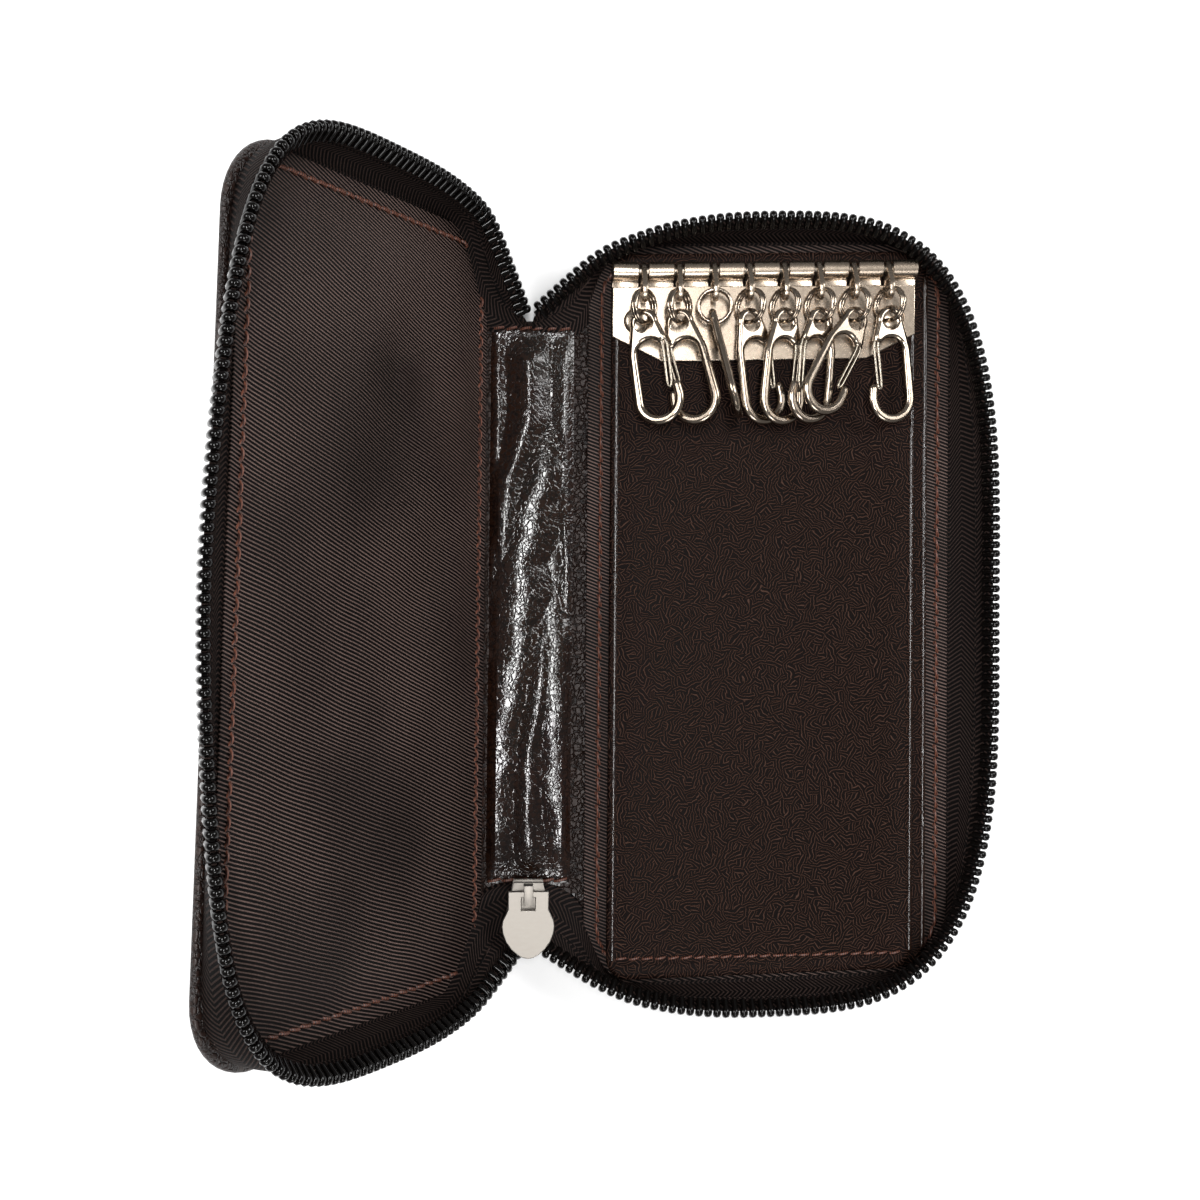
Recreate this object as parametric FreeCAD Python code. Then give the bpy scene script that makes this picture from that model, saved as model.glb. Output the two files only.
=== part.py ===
"""Zip-around leather key case, open on a table: two halves, a spine, a zip and eight key chains.

Millimetres, +Z up.  The origin is the centre of the back half's underside, +Y runs along the spine,
and the spine and the raised front half lie on the -X side.
"""
import FreeCAD, Part
import math
import os
from FreeCAD import Vector

# Small round pieces have this many flats, so that the many copies stay light
ROUND_SIDES = 12

# Covers and spine
COVER_WIDTH = 61.5
COVER_LENGTH = 121.0
COVER_CORNER = 11.0
LEATHER = 1.2
COVER_EDGE_BEVEL = 0.5
SPINE_WIDTH = 15.2
SPINE_SETBACK = 16.0
HINGE_GAP = 0.1
FRONT_RAISED = 56.0

# Board, lining and leather layers inside the halves
BOARD = 0.8
LINING = 0.4
LINING_INSET = 2.4
POCKET_LAYER = 0.8
PANEL_LAYER = 1.0
PANEL_CORNER = 8.0
PANEL_FROM_SPINE = 4.9
POCKET_FREE_INSET = 3.2
PANEL_FREE_INSET = 7.7
PANEL_BOTTOM_INSET = 2.5
PANEL_TOP_INSET = 3.1

# Spine lining with its long soft folds
SPINE_LINING = 0.8
SPINE_LINING_INSET = 1.3
SPINE_FOLD_RISE = 1.0
SPINE_FOLD_COUNT = 3

# Zip: tape wall from its sewn foot to the tooth line
TAPE = 0.6
FOOT_INSET = 1.0
FOOT_WIDTH = 3.0
BOARD_GAP = 0.8
ZIP_OVERHANG_END = 2.5
ZIP_OVERHANG_FREE = 4.85
ZIP_FLARE_TOP = 21.25
ZIP_FLARE_BOTTOM = 23.25
ZIP_POWER_FREE = 3.25
ZIP_POWER_SPINE = 2.5
TAPE_BULGE = 0.5
TAPE_STATIONS = 48
TOOTH_PITCH = 1.4
TOOTH_WIDTH = 0.85
TOOTH_DEPTH = 1.6
TOOTH_REACH = 2.4
TOOTH_LEAN = 40.0
ZIP_CLEARANCE = 0.1
BACK_WALL_END = 2.0
FRONT_WALL_END = 9.0
TAPE_END_GAP = 0.3
APEX_FROM_SPINE_END = 1.6

# Slider and pull tab
SLIDER_LENGTH = 8.4
SLIDER_LAP = 1.65
SLIDER_WIDTH = 7.0
SLIDER_NARROW = 4.6
SLIDER_PLATE = 0.8
SLIDER_CHANNEL = 2.2
SLIDER_HEIGHT = 3.4
BRIDGE_WIDTH = 1.4
BRIDGE_BAR = 0.7
TAB_THICK = 0.9
TAB_LENGTH = 10.4
TAB_NECK_WIDTH = 6.3
TAB_WIDTH = 8.2
TAB_NECK_LENGTH = 3.0
TAB_HOLE_WIDTH = 2.2
TAB_HOLE_LENGTH = 2.0
TAB_BAR = 0.9
TAB_CLEARANCE = 0.35

# Key plate with rolled barrels, its rod and rivets
BARREL_COUNT = 9
PLATE_MARGIN = 0.025
BARREL_GAP = 1.55
BARREL_RADIUS = 1.45
ROD_RADIUS = 0.75
ROD_CLEARANCE = 0.05
ROD_FROM_TOP = 3.2
PLATE = 0.8
PLATE_STEP = 0.3
PLATE_STEP_DROP = 2.7
PLATE_SIDE_DROP = 10.4
PLATE_DROP = 14.2
PLATE_CHAMFER_RUN = 8.0
RIVET_HEAD_RADIUS = 2.1
RIVET_HEAD_HEIGHT = 0.7
RIVET_CROWN_HEIGHTS = (0.0, 0.35, 0.65, 0.88)
RIVET_SHANK_RADIUS = 0.9
RIVET_CLEARANCE = 0.05
RIVET_FROM_END = 3.9
RIVET_DROP = 7.8

# Key chains: link on the rod, ring, snap hook and its wire gate
LINK_LENGTH = 3.9
LINK_THICK = 0.9
LINK_RISE = 28.0
LINK_EYE_RADIUS = 1.4
LINK_EYE_CLEARANCE = 0.1
LINK_FOOT_RADIUS = 1.85
LINK_FOOT_BORE = 1.35
RING_RADIUS = 2.6
RING_WIRE = 0.4
RING_SIDES = 6
RING_STATIONS = 16
RING_TILT_SHARE = 0.68
HOOK_THICK = 1.1
HOOK_EYE_RADIUS = 2.15
HOOK_EYE_BORE = 1.15
HOOK_SHOULDER_DROP = 5.2
HOOK_SHOULDER_SHARE = 0.875
HOOK_BOTTOM_DROP = 12.4
HOOK_PITCH_SHARE = 10 / 7
HOOK_LIMB = 1.25
HOOK_LOOP_TOP = 4.5
HOOK_LOOP_TOP_MARGIN = 0.2
HOOK_MOUTH_TOP = 3.4
HOOK_MOUTH_BOTTOM = 10.7
GATE_WIRE = 0.42
GATE_SLOT = 0.3
GATE_THICK = 0.7
GATE_CLEARANCE = 0.2
GATE_LAP = 0.7
# One row per hook: swing in its own plane, roll about +Y, pitch up, turn about +Z, gate side (+1 is +X)
HOOK_POSES = (
    (12.0, -20.0, 0.0, 0.0, 1),
    (12.0, -20.0, 0.0, 0.0, -1),
    (0.0, 80.0, 15.0, 12.0, 1),
    (12.0, 20.0, 0.0, 0.0, 1),
    (-2.0, 20.0, 0.0, 0.0, 1),
    (-8.0, 20.0, 0.0, 0.0, -1),
    (-26.0, 20.0, 0.0, 0.0, 1),
    (2.0, 14.0, 0.0, 0.0, -1),
)

# Places worked out from the sizes above
HALF_WIDTH = COVER_WIDTH / 2
HALF_LENGTH = COVER_LENGTH / 2
HINGE_X = -HALF_WIDTH
FRONT_HINGE_X = HINGE_X - SPINE_WIDTH
SPINE_MID_X = HINGE_X - SPINE_WIDTH / 2
CLOSED_HALF = LEATHER + SPINE_WIDTH / 2
TOOTH_TOP = CLOSED_HALF - ZIP_CLEARANCE
SPINE_LENGTH = COVER_LENGTH - 2 * SPINE_SETBACK
ZIP_HALF_LENGTH = HALF_LENGTH + ZIP_OVERHANG_END
ZIP_REACH_FREE = HALF_WIDTH + ZIP_OVERHANG_FREE
ZIP_REACH_TOP = HALF_WIDTH + ZIP_FLARE_TOP
ZIP_REACH_BOTTOM = HALF_WIDTH + ZIP_FLARE_BOTTOM
LINING_TOP = LEATHER + BOARD + LINING
POCKET_TOP = LINING_TOP + POCKET_LAYER
PANEL_TOP_FACE = POCKET_TOP + PANEL_LAYER
PANEL_LEFT = HINGE_X + PANEL_FROM_SPINE
PANEL_RIGHT = HALF_WIDTH - PANEL_FREE_INSET
PANEL_BOTTOM = PANEL_BOTTOM_INSET - HALF_LENGTH
PANEL_TOP = HALF_LENGTH - PANEL_TOP_INSET
BARREL_ROW = PANEL_RIGHT - PANEL_LEFT - 2 * PLATE_MARGIN
BARREL_PITCH = (BARREL_ROW + BARREL_GAP) / BARREL_COUNT
BARREL_WIDTH = BARREL_PITCH - BARREL_GAP
HOOK_BOTTOM_RADIUS = BARREL_PITCH * HOOK_PITCH_SHARE / 2
HOOK_SHOULDER_RADIUS = HOOK_BOTTOM_RADIUS * HOOK_SHOULDER_SHARE
HOOK_LOOP_TOP_RADIUS = HOOK_SHOULDER_RADIUS - HOOK_LIMB + HOOK_LOOP_TOP_MARGIN
PLATE_MID_X = (PANEL_LEFT + PANEL_RIGHT) / 2
ROD_Y = PANEL_TOP - ROD_FROM_TOP
ROD_Z = PANEL_TOP_FACE + BARREL_RADIUS
X_AXIS = Vector(1, 0, 0)
Y_AXIS = Vector(0, 1, 0)
Z_AXIS = Vector(0, 0, 1)


def save(name, shape):
    shape.exportStep(f"parts/{name}.step")


def polygon(points):
    return Part.makePolygon(list(points) + [points[0]])


def prism(points, height):
    return Part.Face(polygon(points)).extrude(height)


def rounded_plate(left, right, bottom, top, corner, low, high):
    """Flat plate with four equal rounded corners."""
    diagonal = corner * (1 - math.sqrt(0.5))
    edges = []
    places = ((right, -1, bottom, 1), (right, -1, top, -1), (left, 1, top, -1), (left, 1, bottom, 1))
    for x, sx, y, sy in places:
        along_x = Vector(x + sx * corner, y, low)
        along_y = Vector(x, y + sy * corner, low)
        middle = Vector(x + sx * diagonal, y + sy * diagonal, low)
        ends = (along_x, along_y) if sx * sy < 0 else (along_y, along_x)
        edges.append((ends[0], middle, ends[1]))
    outline = []
    for index, (start, middle, end) in enumerate(edges):
        outline.append(Part.Arc(start, middle, end).toShape())
        following = edges[(index + 1) % len(edges)][0]
        outline.append(Part.makeLine(end, following))
    face = Part.Face(Part.Wire(Part.__sortEdges__(outline)))
    return face.extrude(Vector(0, 0, high - low))


def arc_points(centre, radius, first, second, start, end, steps):
    """Points on an arc about centre, from angle start to angle end, in the plane of two directions."""
    points = []
    for step in range(steps + 1):
        turn = start + (end - start) * step / steps
        points.append(centre + (first * math.cos(turn) + second * math.sin(turn)) * radius)
    return points


def round_points(centre, radius, first, second, sides):
    return arc_points(centre, radius, first, second, 0, 2 * math.pi, sides)[:-1]


def round_bar(centre, radius, length):
    """Small upright round bar, or the cut for a small hole."""
    return prism(round_points(centre, radius, X_AXIS, Y_AXIS, ROUND_SIDES), Z_AXIS * length)


def cross_bar(centre, radius, length):
    """Small round bar along +X."""
    return prism(round_points(centre, radius, Y_AXIS, Z_AXIS, ROUND_SIDES), X_AXIS * length)


def tapered_slot(start, start_radius, end, end_radius, height):
    """Flat plate whose outline is two circles joined by their tangent lines."""
    along = (end - start).normalize()
    across = Vector(-along.y, along.x, 0)
    square = math.pi / 2 + math.asin((end_radius - start_radius) / (end - start).Length)
    steps = ROUND_SIDES // 2
    outline = arc_points(end, end_radius, along, across, -square, square, steps)
    outline += arc_points(start, start_radius, along, across, square, 2 * math.pi - square, steps)
    return prism(outline, Z_AXIS * height)


def facet_loft(sections, closed=False):
    """Solid of flat facets through sections that have the same number of points each."""
    faces = []
    following = sections[1:] + sections[:1] if closed else sections[1:]
    for first, second in zip(sections, following):
        for index in range(len(first)):
            after = (index + 1) % len(first)
            faces.append(Part.Face(polygon([first[index], first[after], second[after]])))
            faces.append(Part.Face(polygon([first[index], second[after], second[index]])))
    if not closed:
        faces += [Part.Face(polygon(sections[0])), Part.Face(polygon(sections[-1]))]
    solid = Part.Solid(Part.Shell(faces))
    if solid.Volume < 0:
        solid.reverse()
    return solid


def superellipse(angle, half_width, half_length, power):
    """Distance from the centre to a superellipse along a polar angle."""
    wide = abs(math.cos(angle)) / half_width
    long = abs(math.sin(angle)) / half_length
    return (wide ** power + long ** power) ** (-1 / power)


def rounded_rectangle(angle, half_width, half_length, corner):
    """Distance from the centre to a rounded rectangle along a polar angle."""
    wide = abs(math.cos(angle))
    long = abs(math.sin(angle))
    if wide * (half_length - corner) >= long * half_width:
        return half_width / wide
    if long * (half_width - corner) >= wide * half_length:
        return half_length / long
    centre_x = half_width - corner
    centre_y = half_length - corner
    along = wide * centre_x + long * centre_y
    return along + math.sqrt(along ** 2 - centre_x ** 2 - centre_y ** 2 + corner ** 2)


def tooth_line(angle):
    """The tooth line flares towards the spine, where the tape ends are drawn together."""
    if math.cos(angle) >= 0:
        return superellipse(angle, ZIP_REACH_FREE, ZIP_HALF_LENGTH, ZIP_POWER_FREE)
    reach = ZIP_REACH_TOP if math.sin(angle) > 0 else ZIP_REACH_BOTTOM
    return superellipse(angle, reach, ZIP_HALF_LENGTH, ZIP_POWER_SPINE)


def foot_line(angle):
    corner = COVER_CORNER - FOOT_INSET
    return rounded_rectangle(angle, HALF_WIDTH - FOOT_INSET, HALF_LENGTH - FOOT_INSET, corner)


def tooth_point(angle):
    radius = tooth_line(angle)
    return Vector(radius * math.cos(angle), radius * math.sin(angle), TOOTH_TOP)


def angle_at(x, side):
    """Polar angle where the tooth line crosses x on the top (+1) or bottom (-1) side."""
    low = math.pi / 2
    high = math.pi
    for _ in range(50):
        middle = (low + high) / 2
        if tooth_point(side * middle).x > x:
            low = middle
        else:
            high = middle
    return side * low


def spaced_angles(start, end, shares):
    """Polar angles at given shares of the tooth line's length between start and end."""
    steps = 2000
    angles = [start + (end - start) * step / steps for step in range(steps + 1)]
    lengths = [0.0]
    for first, second in zip(angles, angles[1:]):
        lengths.append(lengths[-1] + tooth_point(first).distanceToPoint(tooth_point(second)))
    chosen = []
    step = 0
    for share in shares:
        while step < steps and lengths[step] < share * lengths[-1]:
            step += 1
        chosen.append(angles[step])
    return chosen, lengths[-1]


TAPE_TOP = TOOTH_TOP - TOOTH_REACH * math.cos(math.radians(TOOTH_LEAN))
TOOTH_RUN = TOOTH_REACH * math.sin(math.radians(TOOTH_LEAN))


def tape_levels(angle, low):
    """Outer and inner points of the tape, from foot to top, in the upright plane at a polar angle."""
    foot = foot_line(angle)
    top = tooth_line(angle) - TOOTH_RUN + TAPE / 2
    height = (low + TAPE_TOP) / 2
    middle = (foot + top) / 2 + TAPE_BULGE
    outer = ((foot, low), (middle, height), (top, TAPE_TOP))
    inner = ((foot - TAPE, low + TAPE), (middle - TAPE, height), (top - TAPE, TAPE_TOP))
    return outer, inner


def wall_end(from_spine, side):
    """Polar angle where a half's tape wall stops beside the spine, at the top (+1) or bottom (-1)."""
    return angle_at(HINGE_X + from_spine, side)


def polar_points(angle, pairs):
    return [Vector(radius * math.cos(angle), radius * math.sin(angle), height) for radius, height in pairs]


def tape_section(angle):
    """Closed section of the tape wall with the sewn flange that lies under the lining."""
    outer, inner = tape_levels(angle, LEATHER)
    flange = outer[0][0] - FOOT_WIDTH
    pairs = list(outer) + list(reversed(inner)) + [(flange, LEATHER + TAPE), (flange, LEATHER)]
    return polar_points(angle, pairs)


def tape_wall(from_spine):
    shares = [station / (TAPE_STATIONS - 1) for station in range(TAPE_STATIONS)]
    angles, _ = spaced_angles(wall_end(from_spine, -1), wall_end(from_spine, 1), shares)
    return facet_loft([tape_section(angle) for angle in angles])


def tooth(seat, along, outward):
    """One coil tooth: a small block on the tape's edge that leans outward, its head uppermost."""
    up = along.cross(outward)
    if up.z < 0:
        up = -up
    lean = math.radians(TOOTH_LEAN)
    reach = (outward * math.sin(lean) + up.normalize() * math.cos(lean)) * TOOTH_REACH
    wide = along * (TOOTH_WIDTH / 2)
    deep = outward * (TOOTH_DEPTH / 2)
    return prism([seat - wide - deep, seat + wide - deep, seat + wide + deep, seat - wide + deep], reach)


def tooth_row(from_spine):
    start = wall_end(from_spine, -1)
    end = wall_end(from_spine, 1)
    _, length = spaced_angles(start, end, [])
    count = int(length / TOOTH_PITCH)
    angles, _ = spaced_angles(start, end, [(index + 0.5) / count for index in range(count)])
    step = 1e-4
    teeth = []
    for angle in angles:
        along = (tooth_point(angle + step) - tooth_point(angle - step)).normalize()
        outer, inner = (polar_points(angle, pairs)[-1] for pairs in tape_levels(angle, LEATHER))
        teeth.append(tooth((outer + inner) / 2, along, along.cross(Z_AXIS)))
    return Part.makeCompound(teeth)


def to_front(shape):
    """Mirror a piece of the back half across the spine and raise it about the front hinge."""
    mirrored = shape.mirror(Vector(SPINE_MID_X, 0, 0), X_AXIS)
    return mirrored.rotate(Vector(FRONT_HINGE_X, 0, LEATHER), Y_AXIS, FRONT_RAISED)


def front_point(point):
    return to_front(Part.Vertex(point)).Point


# Back half: cover, board, lining, zip wall and teeth; the front half has the same four layers
def cover():
    plate = rounded_plate(HINGE_X, HALF_WIDTH, -HALF_LENGTH, HALF_LENGTH, COVER_CORNER, 0, LEATHER)
    under = [edge for edge in plate.Edges if edge.BoundBox.ZMax < LEATHER / 2]
    return plate.makeChamfer(COVER_EDGE_BEVEL, under)


def inset_plate(inset, low, high):
    return rounded_plate(HINGE_X + inset, HALF_WIDTH - inset, inset - HALF_LENGTH, HALF_LENGTH - inset,
                         max(COVER_CORNER - inset, inset / 2), low, high)


def board():
    return inset_plate(FOOT_INSET + FOOT_WIDTH + BOARD_GAP, LEATHER, LEATHER + BOARD)


def lining():
    return inset_plate(LINING_INSET, LEATHER + BOARD, LINING_TOP)


def rivet_places():
    for side in (-1, 1):
        yield PLATE_MID_X + side * (BARREL_ROW / 2 - RIVET_FROM_END), ROD_Y - RIVET_DROP


def bored_for_rivets(shape):
    for x, y in rivet_places():
        shape = shape.cut(round_bar(Vector(x, y, 0), RIVET_SHANK_RADIUS + RIVET_CLEARANCE, ROD_Z))
    return shape


def pocket_panel():
    return rounded_plate(PANEL_LEFT, HALF_WIDTH - POCKET_FREE_INSET, PANEL_BOTTOM, PANEL_TOP, PANEL_CORNER,
                         LINING_TOP, POCKET_TOP)


def key_panel():
    return rounded_plate(PANEL_LEFT, PANEL_RIGHT, PANEL_BOTTOM, PANEL_TOP, PANEL_CORNER,
                         POCKET_TOP, PANEL_TOP_FACE)


# Key plate: a stepped plate whose upper edge is rolled into barrels round the rod
def barrel_starts():
    for index in range(BARREL_COUNT):
        yield PLATE_MID_X - BARREL_ROW / 2 + index * BARREL_PITCH


def key_plate():
    half = BARREL_ROW / 2
    low = PANEL_TOP_FACE
    outline = [(-half, -PLATE_STEP_DROP), (-half, -PLATE_SIDE_DROP), (PLATE_CHAMFER_RUN - half, -PLATE_DROP),
               (half - PLATE_CHAMFER_RUN, -PLATE_DROP), (half, -PLATE_SIDE_DROP), (half, -PLATE_STEP_DROP)]
    points = [Vector(PLATE_MID_X + x, ROD_Y + y, low) for x, y in outline]
    plate = prism(points, Vector(0, 0, PLATE))
    strip_low = ROD_Y - PLATE_STEP_DROP
    strip_depth = PLATE_STEP_DROP - BARREL_RADIUS - BARREL_GAP / 2
    strip = Part.makeBox(BARREL_ROW, strip_depth, PLATE - PLATE_STEP,
                         Vector(PLATE_MID_X - half, strip_low, low))
    plate = plate.fuse(strip)
    for start in barrel_starts():
        tongue_start = Vector(start, strip_low, low)
        tongue = Part.makeBox(BARREL_WIDTH, PLATE_STEP_DROP, PLATE - PLATE_STEP, tongue_start)
        barrel = cross_bar(Vector(start, ROD_Y, ROD_Z), BARREL_RADIUS, BARREL_WIDTH)
        plate = plate.fuse(tongue.fuse(barrel))
    rod_start = Vector(PLATE_MID_X - half, ROD_Y, ROD_Z)
    bore = cross_bar(rod_start, ROD_RADIUS + ROD_CLEARANCE, BARREL_ROW)
    return plate.cut(bore).removeSplitter()


def key_rod():
    start = Vector(PLATE_MID_X - BARREL_ROW / 2, ROD_Y, ROD_Z)
    return cross_bar(start, ROD_RADIUS, BARREL_ROW)


def plate_rivets():
    seat = PANEL_TOP_FACE + PLATE
    dome = (RIVET_HEAD_RADIUS ** 2 + RIVET_HEAD_HEIGHT ** 2) / (2 * RIVET_HEAD_HEIGHT)
    levels = [(RIVET_SHANK_RADIUS, LEATHER), (RIVET_SHANK_RADIUS, seat)]
    for share in RIVET_CROWN_HEIGHTS:
        height = share * RIVET_HEAD_HEIGHT
        levels.append((math.sqrt(dome ** 2 - (dome - RIVET_HEAD_HEIGHT + height) ** 2), seat + height))
    rivets = []
    for x, y in rivet_places():
        sections = []
        for radius, level in levels:
            sections.append(round_points(Vector(x, y, level), radius, X_AXIS, Y_AXIS, ROUND_SIDES))
        rivets.append(facet_loft(sections))
    return Part.makeCompound(rivets)


# Key chains: each hangs in a gap between two barrels
LINK_DROP = LINK_LENGTH * math.cos(math.radians(LINK_RISE))
RING_TOP_Z = ROD_Z + LINK_LENGTH * math.sin(math.radians(LINK_RISE))


def chain_x(index):
    return PLATE_MID_X - BARREL_ROW / 2 + (index + 1) * BARREL_PITCH - BARREL_GAP / 2


def key_link(index):
    foot = Vector(0, -LINK_LENGTH, 0)
    link = tapered_slot(Vector(), LINK_EYE_RADIUS, foot, LINK_FOOT_RADIUS, LINK_THICK)
    link = link.cut(round_bar(Vector(), ROD_RADIUS + LINK_EYE_CLEARANCE, LINK_THICK))
    link = link.cut(round_bar(foot, LINK_FOOT_BORE, LINK_THICK))
    link.translate(Vector(0, 0, -LINK_THICK / 2))
    link.rotate(Vector(), Y_AXIS, 90)
    link.rotate(Vector(), X_AXIS, -LINK_RISE)
    link.translate(Vector(chain_x(index), ROD_Y, ROD_Z))
    return link


def ring_top(index):
    return Vector(chain_x(index), ROD_Y - LINK_DROP, RING_TOP_Z)


def hook_eye(index):
    return ring_top(index) - Vector(0, 2 * RING_RADIUS, 0)


def key_ring(index):
    """Closed wire ring, tilted against its hook so that it threads both the link and the hook's eye."""
    sections = []
    for middle in round_points(Vector(), RING_RADIUS, X_AXIS, Y_AXIS, RING_STATIONS):
        sections.append(round_points(middle, RING_WIRE, Vector(middle).normalize(), Z_AXIS, RING_SIDES))
    ring = facet_loft(sections, closed=True)
    roll = HOOK_POSES[index][1]
    tilt = RING_TILT_SHARE * (90 - abs(roll))
    ring.rotate(Vector(), Y_AXIS, -math.copysign(tilt, roll))
    ring.translate(ring_top(index) - Vector(0, RING_RADIUS, 0))
    return ring


def place_hook(shape, index):
    swing, roll, pitch, turn, _ = HOOK_POSES[index]
    shape.rotate(Vector(), Z_AXIS, swing)
    shape.rotate(Vector(), Y_AXIS, roll)
    shape.rotate(Vector(), X_AXIS, -pitch)
    shape.rotate(Vector(), Z_AXIS, turn)
    shape.translate(hook_eye(index))
    return shape


def snap_hook(index):
    """Flat cast hook: eye plate, closed limb, round bottom and a nose; the gate side is open."""
    side = HOOK_POSES[index][-1]
    shoulder = Vector(0, -HOOK_SHOULDER_DROP, 0)
    bottom = Vector(0, -HOOK_BOTTOM_DROP, 0)
    loop_start = Vector(0, -HOOK_LOOP_TOP, 0)
    body = tapered_slot(Vector(), HOOK_EYE_RADIUS, shoulder, HOOK_SHOULDER_RADIUS, HOOK_THICK)
    lower = tapered_slot(shoulder, HOOK_SHOULDER_RADIUS, bottom, HOOK_BOTTOM_RADIUS, HOOK_THICK)
    loop = tapered_slot(loop_start, HOOK_LOOP_TOP_RADIUS, bottom, HOOK_BOTTOM_RADIUS - HOOK_LIMB, HOOK_THICK)
    mouth = Part.makeBox(HOOK_BOTTOM_RADIUS, HOOK_MOUTH_BOTTOM - HOOK_MOUTH_TOP, HOOK_THICK,
                         Vector(0, -HOOK_MOUTH_BOTTOM, 0))
    if side < 0:
        mouth.translate(Vector(-HOOK_BOTTOM_RADIUS, 0, 0))
    body = body.fuse(lower).cut(loop).cut(mouth)
    body = body.cut(round_bar(Vector(), HOOK_EYE_BORE, HOOK_THICK)).removeSplitter()
    body.translate(Vector(0, 0, -HOOK_THICK / 2))
    return place_hook(body, index)


def loop_half_width(drop):
    """Half the width of the hook's loop, between its two round ends."""
    share = (drop - HOOK_LOOP_TOP) / (HOOK_BOTTOM_DROP - HOOK_LOOP_TOP)
    return HOOK_LOOP_TOP_RADIUS + (HOOK_BOTTOM_RADIUS - HOOK_LIMB - HOOK_LOOP_TOP_RADIUS) * share


GATE_WIDTH = 2 * GATE_WIRE + GATE_SLOT
GATE_HINGE_DROP = HOOK_MOUTH_TOP + GATE_CLEARANCE
GATE_TIP_DROP = HOOK_MOUTH_BOTTOM + GATE_LAP
GATE_HINGE_X = loop_half_width(GATE_HINGE_DROP) + GATE_WIDTH / 2
GATE_TIP_X = loop_half_width(GATE_TIP_DROP) - GATE_CLEARANCE - GATE_WIDTH / 2


def hook_gate(index):
    """Wire gate bent like a hairpin, from the eye plate to the inside of the nose."""
    side = HOOK_POSES[index][-1]
    start = Vector(side * GATE_HINGE_X, -GATE_HINGE_DROP, 0)
    run = Vector(side * GATE_TIP_X, -GATE_TIP_DROP, 0) - start
    along = Vector(run).normalize()
    across = Vector(-along.y, along.x, 0)
    height = Vector(0, 0, GATE_THICK)
    half = GATE_WIDTH / 2
    bend = run - along * half
    outer = prism([start + across * half, start + bend + across * half, start + bend - across * half,
                   start - across * half], height)
    outer = outer.fuse(prism(round_points(start + bend, half, along, across, ROUND_SIDES), height))
    slot_start = start + along * GATE_WIRE
    slot = prism([slot_start + across * (GATE_SLOT / 2), start + bend + across * (GATE_SLOT / 2),
                  start + bend - across * (GATE_SLOT / 2), slot_start - across * (GATE_SLOT / 2)], height)
    gate = outer.cut(slot).removeSplitter()
    gate.translate(Vector(0, 0, -GATE_THICK / 2))
    return place_hook(gate, index)


# Spine: outer strip between the two hinges and an inner strip with long folds
def spine_cover():
    return Part.makeBox(SPINE_WIDTH - 2 * HINGE_GAP, SPINE_LENGTH, LEATHER,
                        Vector(FRONT_HINGE_X + HINGE_GAP, -SPINE_LENGTH / 2, 0))


def spine_lining():
    left = FRONT_HINGE_X + SPINE_LINING_INSET
    width = SPINE_WIDTH - 2 * SPINE_LINING_INSET
    fold = width / SPINE_FOLD_COUNT
    start_y = -SPINE_LENGTH / 2
    top = LEATHER + SPINE_LINING
    place = lambda x, z: Vector(left + x, start_y, z)
    edges = [Part.makeLine(place(0, top), place(0, LEATHER)),
             Part.makeLine(place(0, LEATHER), place(width, LEATHER)),
             Part.makeLine(place(width, LEATHER), place(width, top))]
    for index in range(SPINE_FOLD_COUNT):
        begin = index * fold
        edges.append(Part.Arc(place(begin, top), place(begin + fold / 2, top + SPINE_FOLD_RISE),
                              place(begin + fold, top)).toShape())
    face = Part.Face(Part.Wire(Part.__sortEdges__(edges)))
    return face.extrude(Vector(0, SPINE_LENGTH, 0))


# Gathered tape ends: at the top they meet over the spine, at the bottom they run into the slider
GATHER_LOW = LINING_TOP + ZIP_CLEARANCE
APEX_TOP_Y = SPINE_LENGTH / 2 + APEX_FROM_SPINE_END
SLIDER_START_Y = SLIDER_LAP - SPINE_LENGTH / 2
SLIDER_MOUTH_Y = SLIDER_START_Y - SLIDER_LENGTH
MOUTH_HALF = SLIDER_WIDTH / 4
SLIDER_MID_Z = SLIDER_HEIGHT + SLIDER_PLATE + SLIDER_CHANNEL / 2
GATHER_SHARES = (0.0, 0.5, 1.0)


def gather_start(from_spine, side):
    """Tape levels just past the end of a wall, TAPE_END_GAP further along the tooth line."""
    angle = wall_end(from_spine, side)
    angle += side * TAPE_END_GAP / tooth_line(angle)
    return [polar_points(angle, pairs) for pairs in tape_levels(angle, GATHER_LOW)]


def back_start(side):
    return gather_start(BACK_WALL_END, side)


def front_start(side):
    return [[front_point(point) for point in level] for level in gather_start(FRONT_WALL_END, side)]


def gather_goal(x, y, side, high):
    """Upright tape levels where a gathered end stops."""
    middle = (GATHER_LOW + high) / 2
    outer = [Vector(x, y, GATHER_LOW), Vector(x, y + side * TAPE_BULGE, middle), Vector(x, y, high)]
    return [outer, [point - Vector(0, side * TAPE, 0) for point in outer]]


def top_goal():
    return gather_goal(SPINE_MID_X, APEX_TOP_Y, 1, TAPE_TOP)


def mouth_goal(side_x):
    high = SLIDER_MID_Z - (TOOTH_TOP - TAPE_TOP) / 2
    return gather_goal(SPINE_MID_X + side_x * MOUTH_HALF, SLIDER_MOUTH_Y - TAPE_END_GAP - TAPE, -1, high)


def between(start, goal, share):
    return [[a + (b - a) * share for a, b in zip(first, second)] for first, second in zip(start, goal)]


def gather_sections(start, goal):
    sections = []
    for share in GATHER_SHARES:
        outer, inner = between(start, goal, share)
        sections.append(outer + list(reversed(inner)))
    return sections


def tape_end_top():
    back = gather_sections(back_start(1), top_goal())
    front = gather_sections(front_start(1), top_goal())
    return facet_loft(back + list(reversed(front))[1:])


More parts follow.
